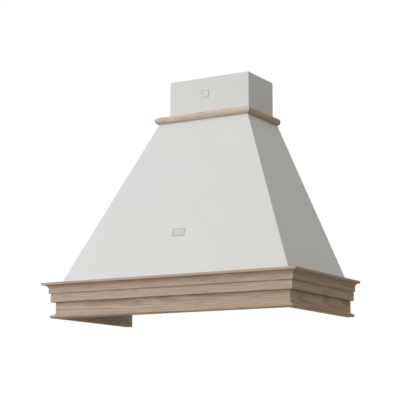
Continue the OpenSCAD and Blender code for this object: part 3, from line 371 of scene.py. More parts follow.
@dataclass(frozen=True)
class BrushedMetal(Finish):
    """Metal with a drawn or brushed skin, such as plated steel or bare aluminium.

    To the eye: fine hair lines one way, which stretch the gloss across them.
    """

    light: str
    shadow: str
    rough: float
    lines: Triple = (60.0, 900.0, 900.0)
    vary: float = 0.07

    def shade(self, wire: Wiring) -> Node:
        """Wire hair lines in tone, gloss and relief."""
        hair = wire.noise(wire.stretched(wire.place(), self.lines))
        gloss = wire.spread(hair, self.rough - self.vary, self.rough + self.vary)
        return wire.surface(wire.mix(hair, self.light, self.shadow), gloss, {
            "Normal": wire.bump(hair, strength=0.15, depth=0.05 * MM), "Metallic": 1.0})


@dataclass(frozen=True)
class MouldedPlastic(Finish):
    """Injection-moulded plastic, rubber or baked enamel with a fine grain.

    To the eye: an even body colour, and a fine pebbled grain that spreads the gloss.
    """

    light: str
    shadow: str
    rough: float
    pebble: float = 0.9 * MM
    vary: float = 0.05

    def shade(self, wire: Wiring) -> Node:
        """Wire a pebbled grain under an even body colour."""
        here = wire.place()
        pebbles = wire.cells(here, 1 / self.pebble)
        flow = wire.noise(here, scale=25.0)
        gloss = wire.spread(flow, self.rough - self.vary, self.rough + self.vary)
        return wire.surface(wire.mix(flow, self.light, self.shadow), gloss, {
            "Normal": wire.bump(pebbles, strength=0.2, depth=0.05 * MM)})


@dataclass(frozen=True)
class FrostedGlass(Finish):
    """Soda glass, acid etched on the inner face.

    To the eye: milky, it glows a little and blurs what lies behind it.
    """

    def shade(self, wire: Wiring) -> Node:
        """Wire a milky glass with an etched grain."""
        etch = wire.noise(wire.place(), scale=900.0)
        return wire.surface(linear("#F4F6F5"), wire.spread(etch, low=0.40, high=0.60), {
            "Normal": wire.bump(etch, strength=0.2, depth=0.05 * MM), "IOR": 1.5,
            "Transmission Weight": 0.75})


@dataclass(frozen=True)
class PhosphorResin(Finish):
    """Silicone with yellow phosphor over a light-emitting chip, switched off.

    To the eye: small soft yellow cushions.
    """

    def shade(self, wire: Wiring) -> Node:
        """Wire a grainy yellow with a soft gloss."""
        grit = wire.noise(wire.place(), scale=1500.0)
        return wire.surface(wire.mix(grit, "#E8C93A", "#D9A92B"), 0.35, {"IOR": 1.41})


# The coat of the visible sheetwork, and the zinc, metal, plastic and enamel of all else but the wood.
COAT = PowderCoat("powder_coat_white_satin", "#DADAD9", "#D5D5D4")
ZINC = HotDipZinc("zinc_hot_dip_spangled")
PLATED = BrushedMetal("steel_zinc_plated_bright", "#C9CCCE", "#A9ADB0", 0.32)
SHAFT_STEEL = BrushedMetal("steel_ground_bright", "#C4C4C2", "#9C9C9A", 0.25)
ALUMINIUM = BrushedMetal("aluminium_mill_rolled", "#D4D6D7", "#B3B6B8", 0.34)
CAST_ALUMINIUM = BrushedMetal("aluminium_die_cast", "#B9BCBE", "#9EA1A3", 0.5, (500.0, 500.0, 500.0))
NICKEL = BrushedMetal("steel_satin_nickel_plated", "#C6C3BC", "#A8A59E", 0.3)
DARK_PLASTIC = MouldedPlastic("polypropylene_black_moulded", "#2C2D2F", "#232426", 0.5)
ENAMEL = MouldedPlastic("motor_enamel_black_baked", "#1E1F21", "#17181A", 0.35, 1.6 * MM)
RUBBER = MouldedPlastic("rubber_black_moulded", "#1B1B1C", "#151516", 0.75)
CAN_PLASTIC = MouldedPlastic("polypropylene_white_can", "#D9D8D2", "#CFCEC8", 0.4)
TERMINAL = MouldedPlastic("polyamide_natural_moulded", "#DEDACB", "#D2CDBC", 0.45)
SHEATH = MouldedPlastic("pvc_grey_extruded", "#8D8F91", "#7F8183", 0.45, 1.4 * MM)
CATCH = MouldedPlastic("polyamide_grey_moulded", "#6E7072", "#626466", 0.5)
DARK_RIM = MouldedPlastic("enamel_umber_fired", "#35312D", "#2B2825", 0.45)
PALE_RIM = MouldedPlastic("enamel_grey_fired", "#B9B9B7", "#AEAEAC", 0.45)
GLASS = FrostedGlass("glass_etched")
PHOSPHOR = PhosphorResin("phosphor_resin_yellow")
FIELD = BrushedMetal("aluminium_satin_plate", "#A0A09E", "#979795", 0.55, (90.0, 90.0, 1100.0))


@dataclass(frozen=True)
class Easing:
    """How far the sharp edges of a piece are broken."""

    width: float
    steps: int = 2
    angle: float = math.radians(38.0)
    clamp: bool = False


SHEET_EDGE = Easing(0.22 * MM)
FOLDED_EDGE = Easing(0.22 * MM, clamp=True)
WOOD_EDGE = Easing(1.0 * MM, 3)
PLASTIC_EDGE = Easing(0.4 * MM)
TURNED_EDGE = Easing(0.8 * MM, 3)
# Finish, slot and broken edges that many pieces share.
COATED = (COAT, "painted_sheet", SHEET_EDGE)
GALVANISED = (ZINC, "galvanised_sheet", SHEET_EDGE)
MOULDED = (DARK_PLASTIC, "dark_plastic", PLASTIC_EDGE)
GROUND = (SHAFT_STEEL, "screw_steel", PLASTIC_EDGE)
MERGE = 0.002 * MM
FLAT_ANGLE = math.radians(0.4)
FOLD_STEPS = 4
ROUND_PROFILE = 0.5


def merged(node: str, reach: float = MERGE) -> bmesh.types.BMesh:
    """Copy a CAD node's loose triangles into one joined mesh of plain faces.

    Args:
        node: Name of the CAD node.
        reach: Points nearer together than this become one.

    Returns:
        A new mesh that the caller frees.
    """
    mesh = bmesh.new()
    mesh.from_mesh(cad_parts[node].data)
    bmesh.ops.remove_doubles(mesh, verts=mesh.verts, dist=reach)
    bmesh.ops.dissolve_limit(mesh, angle_limit=FLAT_ANGLE, verts=mesh.verts, edges=mesh.edges)
    mesh.normal_update()
    return mesh


def placed(mesh: bmesh.types.BMesh, name: str, finishes: Iterable[Finish]) -> bpy.types.Object:
    """Turn a finished mesh into an object of the scene.

    Args:
        mesh: Mesh in the place of the finished piece. It is freed.
        name: Name of the object.
        finishes: Finishes in the order of the mesh's material numbers.

    Returns:
        The object, at the origin.
    """
    data = bpy.data.meshes.new(name)
    mesh.to_mesh(data)
    mesh.free()
    for left in [a for a in data.attributes if a.name == "custom_normal"]:
        data.attributes.remove(left)
    data.materials.clear()
    for finish in finishes:
        data.materials.append(finish.material())
    return linked(name, data)


def soften(piece: bpy.types.Object, ease: Easing) -> None:
    """Break the sharp edges of a piece and keep its flat faces flat.

    Args:
        piece: Object of the piece.
        ease: How far the edges are broken.
    """
    piece.data.shade_smooth()
    piece.data.set_sharp_from_angle(angle=ease.angle)
    bevel = piece.modifiers.new("eased_edges", "BEVEL")
    bevel.width = ease.width
    bevel.segments = ease.steps
    bevel.limit_method = "ANGLE"
    bevel.angle_limit = ease.angle
    bevel.use_clamp_overlap = ease.clamp
    bevel.loop_slide = False
    even = piece.modifiers.new("even_faces", "WEIGHTED_NORMAL")
    even.keep_sharp = True


def settle(piece: bpy.types.Object, body: str, slot: str, *nodes: str) -> None:
    """Let a piece ride on its body and stand for its CAD nodes.

    Args:
        piece: Finished object.
        body: Body that carries it.
        slot: Material slot of the record; not used.
        *nodes: CAD nodes that it stands for.
    """
    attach(piece, body)
    if nodes:
        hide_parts(*nodes)
    LOG.info("%s rides on %s for %s", piece.name, body, ", ".join(nodes) or "no node")


def eased(node: str, finish: Finish, slot: str, ease: Easing, body: str = "hood",
          folds: tuple[EdgeTest, float] | None = None, seam: float = MERGE, split: bool = False) -> None:
    """Make a piece from a CAD node, with broken edges and a finish.

    Args:
        node: CAD node that gives the form.
        finish: Its finish.
        slot: Material slot of the record.
        ease: How far the sharp edges are broken.
        body: Body that carries it.
        folds: Test for folded edges and their outer radius, or None.
        seam: Widest seam that its paint fills.
        split: Whether faces with notches are cut into convex ones, which a bevel can't fold over.
    """
    mesh = merged(node, seam)
    if folds:
        is_fold, radius = folds
        chosen = [e for e in mesh.edges if is_fold(e)]
        bmesh.ops.bevel(mesh, geom=chosen, offset=radius, segments=FOLD_STEPS, profile=ROUND_PROFILE,
                        affect="EDGES")
    if split:
        bmesh.ops.connect_verts_concave(mesh, faces=mesh.faces)
    piece = placed(mesh, f"{node}_{slot}", [finish])
    soften(piece, ease)
    settle(piece, body, slot, node)


def opened(name: str, sizes: Sizes) -> tuple[Wiring, bpy.types.NodeOutputs]:
    """Start a Geometry Nodes tree with named inputs.

    Args:
        name: Name of the tree.
        sizes: A value for each input, by its name, which gives the kind of the input.

    Returns:
        The tree's wiring and the sockets of its inputs.
    """
    tree = bpy.data.node_groups.new(name, "GeometryNodeTree")
    for way in ("OUTPUT", "INPUT"):
        tree.interface.new_socket("Geometry", in_out=way, socket_type="NodeSocketGeometry")
    for label, value in sizes.items():
        tree.interface.new_socket(label, in_out="INPUT", socket_type=f"NodeSocket{SOCKETS[type(value)]}")
    wire = Wiring(tree)
    return wire, wire.node("GroupInput").outputs


def inputs(part: object, finish: Finish, **more: object) -> Sizes:
    """Give the inputs of a part's tree: its own sizes, whatever more it takes, and its finish."""
    return {**vars(part), **more, "finish": finish.material()}


def closed(wire: Wiring, form: Node, finish: Socket) -> Tree:
    """End a Geometry Nodes tree with real faces and their finish.

    Args:
        wire: Wiring of the tree.
        form: Node that gives the geometry.
        finish: Socket of the material.

    Returns:
        The tree.
    """
    real = wire.node("RealizeInstances", {"Geometry": form})
    painted = wire.node("SetMaterial", {"Geometry": real, "Material": finish})
    wire.node("GroupOutput", {"Geometry": painted})
    return wire.tree


def grown(name: str, tree: Tree, sizes: Sizes, seed: bpy.types.Mesh | None = None) -> bpy.types.Object:
    """Run a Geometry Nodes tree and keep its result as a plain mesh.

    Args:
        name: Name of the new object.
        tree: The tree.
        sizes: Values of its named inputs.
        seed: Mesh that the tree starts from, or None.

    Returns:
        The object with the plain mesh, at the origin.
    """
    source = linked(f"{name}_source", seed or bpy.data.meshes.new(f"{name}_source"))
    form = source.modifiers.new("form", "NODES")
    form.node_group = tree
    for item in tree.interface.items_tree:
        if item.in_out == "INPUT" and item.name in sizes:
            form[item.identifier] = sizes[item.name]
    graph = bpy.context.evaluated_depsgraph_get()
    mesh = bpy.data.meshes.new_from_object(source.evaluated_get(graph), depsgraph=graph)
    bpy.data.objects.remove(source)
    mesh.name = name
    return linked(name, mesh)


@dataclass
class WoodenTrim:
    """The oak frame, its cornice and the crown moulding, each in three mitred lengths."""

    # Early and late wood of the front lengths, paler as painted light, and of the side lengths, darker as
    # painted shade.
    board_front_painted_light: Tones = ("#C6B29E", "#9C8470")
    cornice_front: Tones = ("#C8B4A1", "#9E8572")
    crown_front: Tones = ("#D7C9BA", "#B29D8C")
    board_side_painted_shade: Tones = ("#BEA78F", "#957B65")
    crown_side_painted_shade: Tones = ("#C3B49E", "#A08C76")
    # The heart of the front board lies behind and near half its height, so its rings open in arches.
    front_place: Triple = (0.31, 0.372, 0.262)
    cornice_place: Triple = (1.40, 0.335, 0.170)
    crown_place: Triple = (2.10, 0.120, -0.300)
    # The side lengths come from farther along the plank, with its heart inside the hood.
    side_step: float = 0.7
    side_heart: float = 0.41
    crown_side_heart: float = 0.16
    board_side_height: float = 0.283
    board_rings: float = 0.55
    trim_rings: float = 0.25

    def build(self) -> None:
        """Make all nine lengths."""
        for group, place, front, across, rings in (
                ("fascia", self.front_place, self.board_front_painted_light, self.board_side_painted_shade, self.board_rings),
                ("cornice", self.cornice_place, self.cornice_front, self.board_side_painted_shade, self.trim_rings),
                ("crown", self.crown_place, self.crown_front, self.crown_side_painted_shade, self.trim_rings)):
            for side in ("front", "left", "right"):
                # A front length takes the tones with painted light, a side length those with painted
                # shade.
                self.length(group, side, place, front if side == "front" else across, rings)

    def length(self, group: str, side: str, place: Triple, tones: Tones, rings: float) -> None:
        """Make one length, cut from its own part of the plank.

        Args:
            group: fascia, cornice or crown.
            side: front, left or right.
            place: Where the front length lies in the plank.
            tones: Colours of its early and late wood, with painted light on a front length and painted
                shade on a side length.
            rings: How strongly the late wood shows in the rings.
        """
        grain = Grain.ALONG_X
        if side != "front":
            grain = Grain.ALONG_Y
            heart = self.crown_side_heart if group == "crown" else self.side_heart
            height = self.board_side_height if group == "fascia" else place[2]
            place = (place[0] + self.side_step, heart if side == "left" else -heart, height)
        oak = LimedOak(f"oak_limed_{group}_{side}", grain, place, *tones, rings)
        eased(f"{group}_{side}", oak, "oak", WOOD_EDGE)


@dataclass
class Sheetwork:
    """The canopy, the chimney covers, the pan and the back plate, folded from sheet."""

    fold: float = 1.4 * MM
    canopy_fold: float = 0.8 * MM
    canopy_seam: float = 0.15 * MM
    ridge_length: float = 0.125
    ridge_rise: float = 0.6
    wall_gap: float = 0.02

    def is_ridge(self, edge: bmesh.types.BMEdge) -> bool:
        """Tell whether an edge is one of the long rising folds at the front.

        Args:
            edge: Edge of a folded piece.

        Returns:
            Whether it is one.
        """
        low, high = edge.verts[0].co, edge.verts[1].co
        length = edge.calc_length()
        rising = abs(high.z - low.z) > self.ridge_rise * length
        outside = edge.is_manifold and edge.is_convex
        return rising and outside and length > self.ridge_length and max(low.y, high.y) < -self.wall_gap

    def build(self) -> None:
        """Make the coated pieces, the bracket and the back plate."""
        folds = (self.is_ridge, self.fold)
        eased("canopy_shell", COAT, "painted_sheet", FOLDED_EDGE, folds=(self.is_ridge, self.canopy_fold),
              seam=self.canopy_seam)
        eased("chimney_lower_cover", *COATED, folds=folds)
        eased("chimney_upper_cover", COAT, "painted_sheet", FOLDED_EDGE, "upper_cover", folds, split=True)
        for node in ("base_pan", "pan_walls", "pan_flanges"):
            eased(node, *COATED)
        eased("chimney_top_bracket", *GALVANISED, "upper_cover")
        eased("back_plate", *GALVANISED)


@dataclass
class Fixings:
    """All screws: pan heads with a cross recess, on threaded shanks."""

    head: float = 8.0 * MM
    head_height: float = 2.4 * MM
    shank: float = 3.4 * MM
    thread: float = 0.34 * MM
    recess: float = 4.6 * MM
    slot_width: float = 1.0 * MM
    nominal: float = 12.0 * MM
    # A lower power makes a flatter head.
    dome: float = 0.55
    turns: float = 9.0
    # Where the thread starts below the head, and how long it is, in lengths of the shank.
    thread_start: float = 0.97
    thread_run: float = 0.94
    # Points farther from the axis than this share of the head's width belong to the head.
    head_share: float = 0.4

    def tree(self, sizes: Sizes) -> Tree:
        """Wire heads and shanks onto points that know their axis and their reach.

        Args:
            sizes: Inputs of the tree.

        Returns:
            The tree.
        """
        wire, size = opened("cross_screws", sizes)
        length = size["nominal"]
        radius = wire.times(size["head"], 0.5)
        ball = wire.node("MeshUVSphere", {"Segments": 24, "Rings": 14, "Radius": radius})
        parts = wire.node("SeparateXYZ", {0: wire.node("InputPosition")})
        upper = wire.calc("MAXIMUM", wire.calc("DIVIDE", parts.outputs["Z"], radius), 0.0)
        rise = wire.times(wire.calc("POWER", upper, self.dome), size["head_height"])
        pan = wire.node("SetPosition", {
            "Geometry": ball, "Position": wire.vector(parts.outputs["X"], parts.outputs["Y"], rise)})
        long_bar = wire.vector(size["recess"], size["slot_width"], size["head_height"])
        bar = wire.moved(wire.node("MeshCube", {"Size": long_bar}),
                         Translation=wire.vector(z=size["head_height"]))
        cross_bar = wire.moved(bar, Rotation=(0, 0, math.pi / 2))
        head = wire.node("MeshBoolean", {"Mesh 1": pan, "Mesh 2": [bar, cross_bar]},
                         operation="DIFFERENCE", solver="EXACT")
        core_radius = wire.times(size["shank"], 0.5)
        core = wire.node("MeshCylinder", {"Vertices": 12, "Radius": core_radius, "Depth": length})
        low_core = wire.moved(core, Translation=wire.vector(z=wire.times(length, -0.5)))
        helix = wire.node("CurveSpiral", {
            "Resolution": 12, "Rotations": self.turns, "Start Radius": core_radius,
            "End Radius": core_radius, "Height": length})
        rib = wire.node("CurvePrimitiveCircle", {"Resolution": 3, "Radius": size["thread"]})
        thread = wire.node("CurveToMesh", {"Curve": helix, "Profile Curve": rib, "Fill Caps": True})
        low_thread = wire.moved(
            thread, Translation=wire.vector(z=wire.times(length, -self.thread_start)),
            Scale=wire.vector(1.0, 1.0, self.thread_run))
        shank = wire.joined(low_core, low_thread)
        axis = wire.node("InputNamedAttribute", {"Name": "axis"}, data_type="FLOAT_VECTOR")
        reach = wire.node("InputNamedAttribute", {"Name": "reach"}, data_type="FLOAT")
        turn = wire.node("AlignRotationToVector", {"Vector": axis.outputs["Attribute"]}, axis="Z")
        stretch = wire.calc("DIVIDE", reach.outputs["Attribute"], length)
        heads = wire.copies(size["Geometry"], head, Rotation=turn)
        shanks = wire.copies(size["Geometry"], shank, Rotation=turn, Scale=wire.vector(1.0, 1.0, stretch))
        return closed(wire, wire.joined(heads, shanks), size["finish"])

    def seats(self, node: str) -> bpy.types.Mesh:
        """Find where each screw of a CAD node sits.

        Args:
            node: CAD node with one loose solid for each screw.

        Returns:
            A mesh of points under the heads, with the axis towards the head and the reach of the shank.
        """
        mesh = merged(node)
        found = []
        seen: set[bmesh.types.BMVert] = set()
        for start in mesh.verts:
            if start in seen:
                continue
            island, todo = [], [start]
            seen.add(start)
            while todo:
                here = todo.pop()
                island.append(here.co.copy())
                for other in (edge.other_vert(here) for edge in here.link_edges):
                    if other not in seen:
                        seen.add(other)
                        todo.append(other)
            found.append(self.seat(island))
        mesh.free()
        points, axes, reaches = zip(*found)
        data = bpy.data.meshes.new(f"{node}_seats")
        data.from_pydata(points, [], [])
        flat_axes = [part for axis in axes for part in axis]
        data.attributes.new("axis", "FLOAT_VECTOR", "POINT").data.foreach_set("vector", flat_axes)
        data.attributes.new("reach", "FLOAT", "POINT").data.foreach_set("value", reaches)
        return data

    def seat(self, island: list[Vector]) -> tuple[Vector, Vector, float]:
        """Measure one screw.

        Args:
            island: Its points.

        Returns:
            The point under its head, the axis towards the head, and the length of the shank.
        """
        low = Vector(min(p[i] for p in island) for i in range(3))
        high = Vector(max(p[i] for p in island) for i in range(3))
        extent = high - low
        along = max(range(3), key=lambda i: abs(extent[i] - self.head))
        across = [i for i in range(3) if i != along]
        middle = (low + high) / 2
        wide = [p[along] for p in island
                if math.hypot(*((p - middle)[i] for i in across)) > self.head_share * self.head]
        heading = 1.0 if sum(wide) / len(wide) > middle[along] else -1.0
        axis = Vector(heading if i == along else 0.0 for i in range(3))
        seat = middle.copy()
        seat[along] = min(wide) if heading > 0 else max(wide)
        return seat, axis, extent[along] - self.head_height

    def build(self) -> None:
        """Make the screws of each body."""
        sizes = inputs(self, PLATED)
        tree = self.tree(sizes)
        for node, body in (
                ("wood_screws", "hood"), ("machine_screws", "hood"), ("bracket_screws", "upper_cover")):
            screws = grown(f"{node}_cross_head", tree, sizes, self.seats(node))
            settle(screws, body, "screw_steel", node)


@dataclass
class Impeller:
    """Double-inlet fan wheel of crimped zinc-coated sheet: curved blades on a disc, between two rings."""

    centre: Triple = (0.0, -0.1894, -0.076)
    outer: float = 95.0 * MM
    width: float = 150.0 * MM
    ring_width: float = 3.0 * MM
    ring_height: float = 17.0 * MM
    disc: float = 2.0 * MM
    disc_gap: float = 0.5 * MM
    boss: float = 14.0 * MM
    boss_length: float = 28.0 * MM
    chord: float = 17.0 * MM
    thickness: float = 1.2 * MM
    camber: float = 3.0 * MM
    pitch: float = math.radians(35)
    blades: int = 30
    round_steps: int = 72
    boss_steps: int = 32
    blade_steps: int = 7

    def tree(self, sizes: Sizes) -> Tree:
        """Wire the wheel round the z axis, from blade to ring, and lay it on its shaft.

        Args:
            sizes: Inputs of the tree.

        Returns:
            The tree.
        """
        wire, size = opened("fan_wheel", sizes)
        half = wire.times(size["width"], 0.5)
        plank = wire.node("MeshCube", {
            "Size": wire.vector(size["chord"], size["thickness"], half), "Vertices X": self.blade_steps,
            "Vertices Y": 2, "Vertices Z": 2})
        parts = wire.node("SeparateXYZ", {0: wire.node("InputPosition")})
        share = wire.calc("DIVIDE", parts.outputs["X"], size["chord"])
        # Four times the square of a half makes the full camber at the blade's edges.
        bend = wire.times(wire.times(wire.times(share, share), 4.0), size["camber"])
        blade = wire.moved(wire.shifted(plank, wire.vector(y=bend)), Rotation=wire.vector(z=size["pitch"]))
        blade_radius = wire.calc("SUBTRACT", size["outer"], wire.times(size["chord"], 0.5))
        circle = wire.node("MeshCircle", {"Vertices": size["blades"], "Radius": blade_radius})
        step = wire.calc("DIVIDE", 2 * math.pi, size["blades"])
        angle = wire.times(wire.node("InputIndex"), step)
        row = wire.copies(circle, blade, Rotation=wire.vector(z=angle))
        up = wire.vector(z=wire.times(half, 0.5))
        upper = wire.moved(row, Translation=up)
        lower = wire.moved(row, Translation=wire.warp("MULTIPLY", up, (-1, -1, -1)),
                           Rotation=wire.vector(z=wire.times(step, 0.5)))
        ring_radius = wire.calc("SUBTRACT", size["outer"], wire.times(size["ring_height"], 0.5))
        path = wire.node("CurvePrimitiveCircle", {"Resolution": self.round_steps, "Radius": ring_radius})
        section = wire.node("CurvePrimitiveQuadrilateral", {
            "Width": size["ring_height"], "Height": size["ring_width"]})
        ring = wire.node("CurveToMesh", {"Curve": path, "Profile Curve": section})
        ring_up = wire.vector(z=wire.calc("SUBTRACT", half, wire.times(size["ring_width"], 0.5)))
        ring_down = wire.warp("MULTIPLY", ring_up, (-1, -1, -1))
        rings = wire.joined(wire.moved(ring, Translation=ring_up), wire.moved(ring, Translation=ring_down))
        plate_radius = wire.calc("SUBTRACT", size["outer"], self.disc_gap)
        plate = wire.node("MeshCylinder", {
            "Vertices": self.round_steps, "Radius": plate_radius, "Depth": size["disc"]})
        hub = wire.node("MeshCylinder", {
            "Vertices": self.boss_steps, "Radius": size["boss"], "Depth": size["boss_length"]})
        wheel = wire.joined(upper, lower, rings, plate, hub)
        laid = wire.moved(wheel, Translation=size["centre"], Rotation=(0, math.pi / 2, 0))
        return closed(wire, laid, size["finish"])

    def build(self) -> None:
        """Make the wheel in place of its CAD nodes."""
        sizes = inputs(self, ZINC)
        wheel = grown("impeller_wheel", self.tree(sizes), sizes)
        settle(wheel, "rotor", "galvanised_sheet", "impeller_disc", "impeller_rings", "impeller_blades")


@dataclass
class Blower:
    """The fan housing with its motor, wheel and brackets."""

    wheel: Impeller = field(default_factory=Impeller)

    def build(self) -> None:
        """Make the housing, the motor and the wheel."""
        for node in ("scroll_wrap", "scroll_side_left", "scroll_side_right", "blower_brackets",
                     "motor_bracket"):
            eased(node, *GALVANISED)
        self.wheel.build()
        eased("motor_shaft", *GROUND, "rotor")
        eased("motor_body", ENAMEL, "motor_enamel", TURNED_EDGE)
        eased("motor_grommets", RUBBER, "grommet_rubber", TURNED_EDGE)


@dataclass
class AirOutlet:
    """The moulded outlet, its round spigot and the two flaps that keep draughts out."""

    def build(self) -> None:
        """Make the outlet pieces."""
        eased("outlet_transition", *MOULDED)
        eased("duct_spigot", *MOULDED)
        eased("flap_spindle", *GROUND)
        eased("flap_front", *MOULDED, "front_flap")
        eased("flap_rear", *MOULDED, "rear_flap")


@dataclass
class Electrics:
    """The boxes, terminals and leads behind the canopy."""

    def build(self) -> None:
        """Make the electric pieces."""
        eased("capacitor", CAN_PLASTIC, "capacitor_case", TURNED_EDGE)
        eased("junction_box", *MOULDED)
        eased("junction_box_lid", DARK_PLASTIC, "dark_plastic", TURNED_EDGE)
        eased("cable_gland", *MOULDED)
        eased("terminal_block", TERMINAL, "terminal_plastic", PLASTIC_EDGE)
        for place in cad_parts["leads"].material_slots:
            place.material = SHEATH.material()
        LOG.info("leads keeps its CAD form in %s", SHEATH.name)


@dataclass
class Controls:
    """The row of push buttons under the front edge."""

    names: tuple[str, ...] = ("off", "low", "medium", "high", "lamp")

    def build(self) -> None:
        """Make the switch block and its buttons."""
        eased("switch_block", *MOULDED)
        for name in self.names:
            eased(f"button_{name}", NICKEL, "button_metal", TURNED_EDGE, f"{name}_button", split=True)


@dataclass
class GreaseFilters:
    """Two filter cassettes: a folded frame round layers of expanded aluminium, with a sprung catch."""

    cell: float = 9.0 * MM
    row: float = 3.6 * MM
    strand: float = 1.3 * MM
    gauge: float = 0.45 * MM
    layers: int = 3
    lean: float = math.radians(35)
    border: float = 1.2 * MM

    def line(self, wire: Wiring, axis: str, count: object, pitch: object) -> Node:
        """Wire a centred line of points.

        Args:
            wire: Wiring of the tree that takes it.
            axis: x, y or z.
            count: Number of the points.
            pitch: Distance from one to the next.

        Returns:
            The node that gives the line.
        """
        span = wire.times(wire.calc("SUBTRACT", count, 1.0), pitch)
        start = wire.times(span, -0.5)
        return wire.node("MeshLine", {
            "Count": count, "Start Location": wire.vector(**{axis: start}),
            "Offset": wire.vector(**{axis: pitch})})

    def tree(self, sizes: Sizes) -> Tree:
        """Wire zigzag strands, row by row and layer by layer.

        Args:
            sizes: Inputs of the tree.

        Returns:
            The tree.
        """
        wire, size = opened("expanded_mesh", sizes)
        pitch = size["row"]
        cells = wire.calc("FLOOR", wire.calc("DIVIDE", size["width"], size["cell"]))
        corners = self.line(
            wire, "x", wire.calc("MULTIPLY_ADD", cells, 2.0, 1.0), wire.times(size["cell"], 0.5))
        odd = wire.calc("MODULO", wire.node("InputIndex"), 2.0)
        swing = wire.vector(y=wire.times(wire.calc("SUBTRACT", odd, 0.5), pitch))
        path = wire.node("MeshToCurve", {"Mesh": wire.shifted(corners, swing)})
        leaning = wire.node("SetCurveTilt", {"Curve": path, "Tilt": size["lean"]})
        section = wire.node("CurvePrimitiveQuadrilateral", {
            "Width": size["strand"], "Height": size["gauge"]})
        strand = wire.node("CurveToMesh", {"Curve": leaning, "Profile Curve": section, "Fill Caps": True})
        rows = wire.calc("FLOOR", wire.calc("DIVIDE", size["depth"], pitch))
        half_turn = wire.vector(z=wire.times(odd, math.pi))
        sheet = wire.copies(self.line(wire, "y", rows, pitch), strand, Rotation=half_turn)
        floors = wire.shifted(self.line(wire, "z", size["layers"], size["gap"]), swing)
        pack = wire.moved(wire.copies(floors, sheet), Translation=size["centre"])
        return closed(wire, pack, size["finish"])

    def build(self) -> None:
        """Make both cassettes, each with a mesh that fills the room of its CAD node."""
        for side in ("left", "right"):
            body = f"{side}_filter"
            low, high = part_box(f"filter_mesh_{side}")
            room = high - low
            sizes = inputs(
                self, ALUMINIUM, width=room.x - 2 * self.border, depth=room.y - 2 * self.border - self.row,
                gap=(room.z - self.strand) / self.layers, centre=tuple((low + high) / 2))
            mesh = grown(f"filter_mesh_{side}_expanded", self.tree(sizes), sizes)
            settle(mesh, body, "filter_aluminium", f"filter_mesh_{side}")
            eased(f"filter_frame_{side}", ALUMINIUM, "filter_aluminium", SHEET_EDGE, body, split=True)
            eased(f"filter_catch_{side}", CATCH, "catch_plastic", TURNED_EDGE, f"{side}_catch")


@dataclass
class Lamps:
    """Two round recessed lamps, each with a rim, an etched lens and a board of light-emitting chips."""

    chips: int = 9
    ring: float = 17.0 * MM
    chip: Triple = (3.4 * MM, 3.4 * MM, 0.8 * MM)
    # Height of a chip's middle above the foot of its board, in heights of the chip.
    chip_lift: float = 0.3
    chip_crease: float = 0.75

    def tree(self, sizes: Sizes) -> Tree:
        """Wire a ring of chips.

        Args:
            sizes: Inputs of the tree.

        Returns:
            The tree.
        """
        wire, size = opened("chip_ring", sizes)
        circle = wire.node("MeshCircle", {"Vertices": size["chips"], "Radius": size["ring"]})
        block = wire.node("MeshCube", {"Size": size["chip"]})
        cushion = wire.node("SubdivisionSurface", {
            "Mesh": block, "Level": 2, "Edge Crease": self.chip_crease})
        ring = wire.moved(wire.copies(circle, cushion), Translation=size["centre"])
        return closed(wire, ring, size["finish"])

    def build(self) -> None:
        """Make both lamps."""
        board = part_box("led_modules")[0].z
        for side in ("left", "right"):
            low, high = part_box(f"lamp_housing_{side}")
            centre = (low + high) / 2
            sizes = inputs(
                self, PHOSPHOR, centre=(centre.x, centre.y, board + self.chip_lift * self.chip[2]))
            settle(grown(f"led_chips_{side}", self.tree(sizes), sizes), "hood", "lamp_heat_sink")
            eased(f"lamp_housing_{side}", NICKEL, "lamp_rim", SHEET_EDGE)
        eased("led_modules", CAST_ALUMINIUM, "lamp_heat_sink", PLASTIC_EDGE)
        eased("lamp_lenses", GLASS, "lamp_glass", PLASTIC_EDGE)


@dataclass
class BlankPlates:
    """The two small plates at the front, left blank: a satin field in an enamelled rim."""

    sink: float = 0.25 * MM
    # A face that turns farther than this towards the front can be the one with the field.
    facing: float = -0.5
    plates: tuple[tuple[str, Finish, float], ...] = (
        ("canopy_badge", DARK_RIM, 1.9 * MM), ("chimney_badge", PALE_RIM, 1.4 * MM))

    def build(self) -> None:
        """Make both plates, each with its front face sunk inside its rim."""
        for node, border, rim in self.plates:
            mesh = merged(node)
            facing = [face for face in mesh.faces if face.normal.y < self.facing]
            front = max(facing, key=lambda face: face.calc_area())
            bmesh.ops.inset_region(
                mesh, faces=[front], thickness=rim, depth=-self.sink, use_even_offset=True)
            for face in mesh.faces:
                face.material_index = 0 if face == front else 1
            piece = placed(mesh, f"{node}_blank", [FIELD, border])
            soften(piece, SHEET_EDGE)
            settle(piece, "hood", "badge_metal", node)


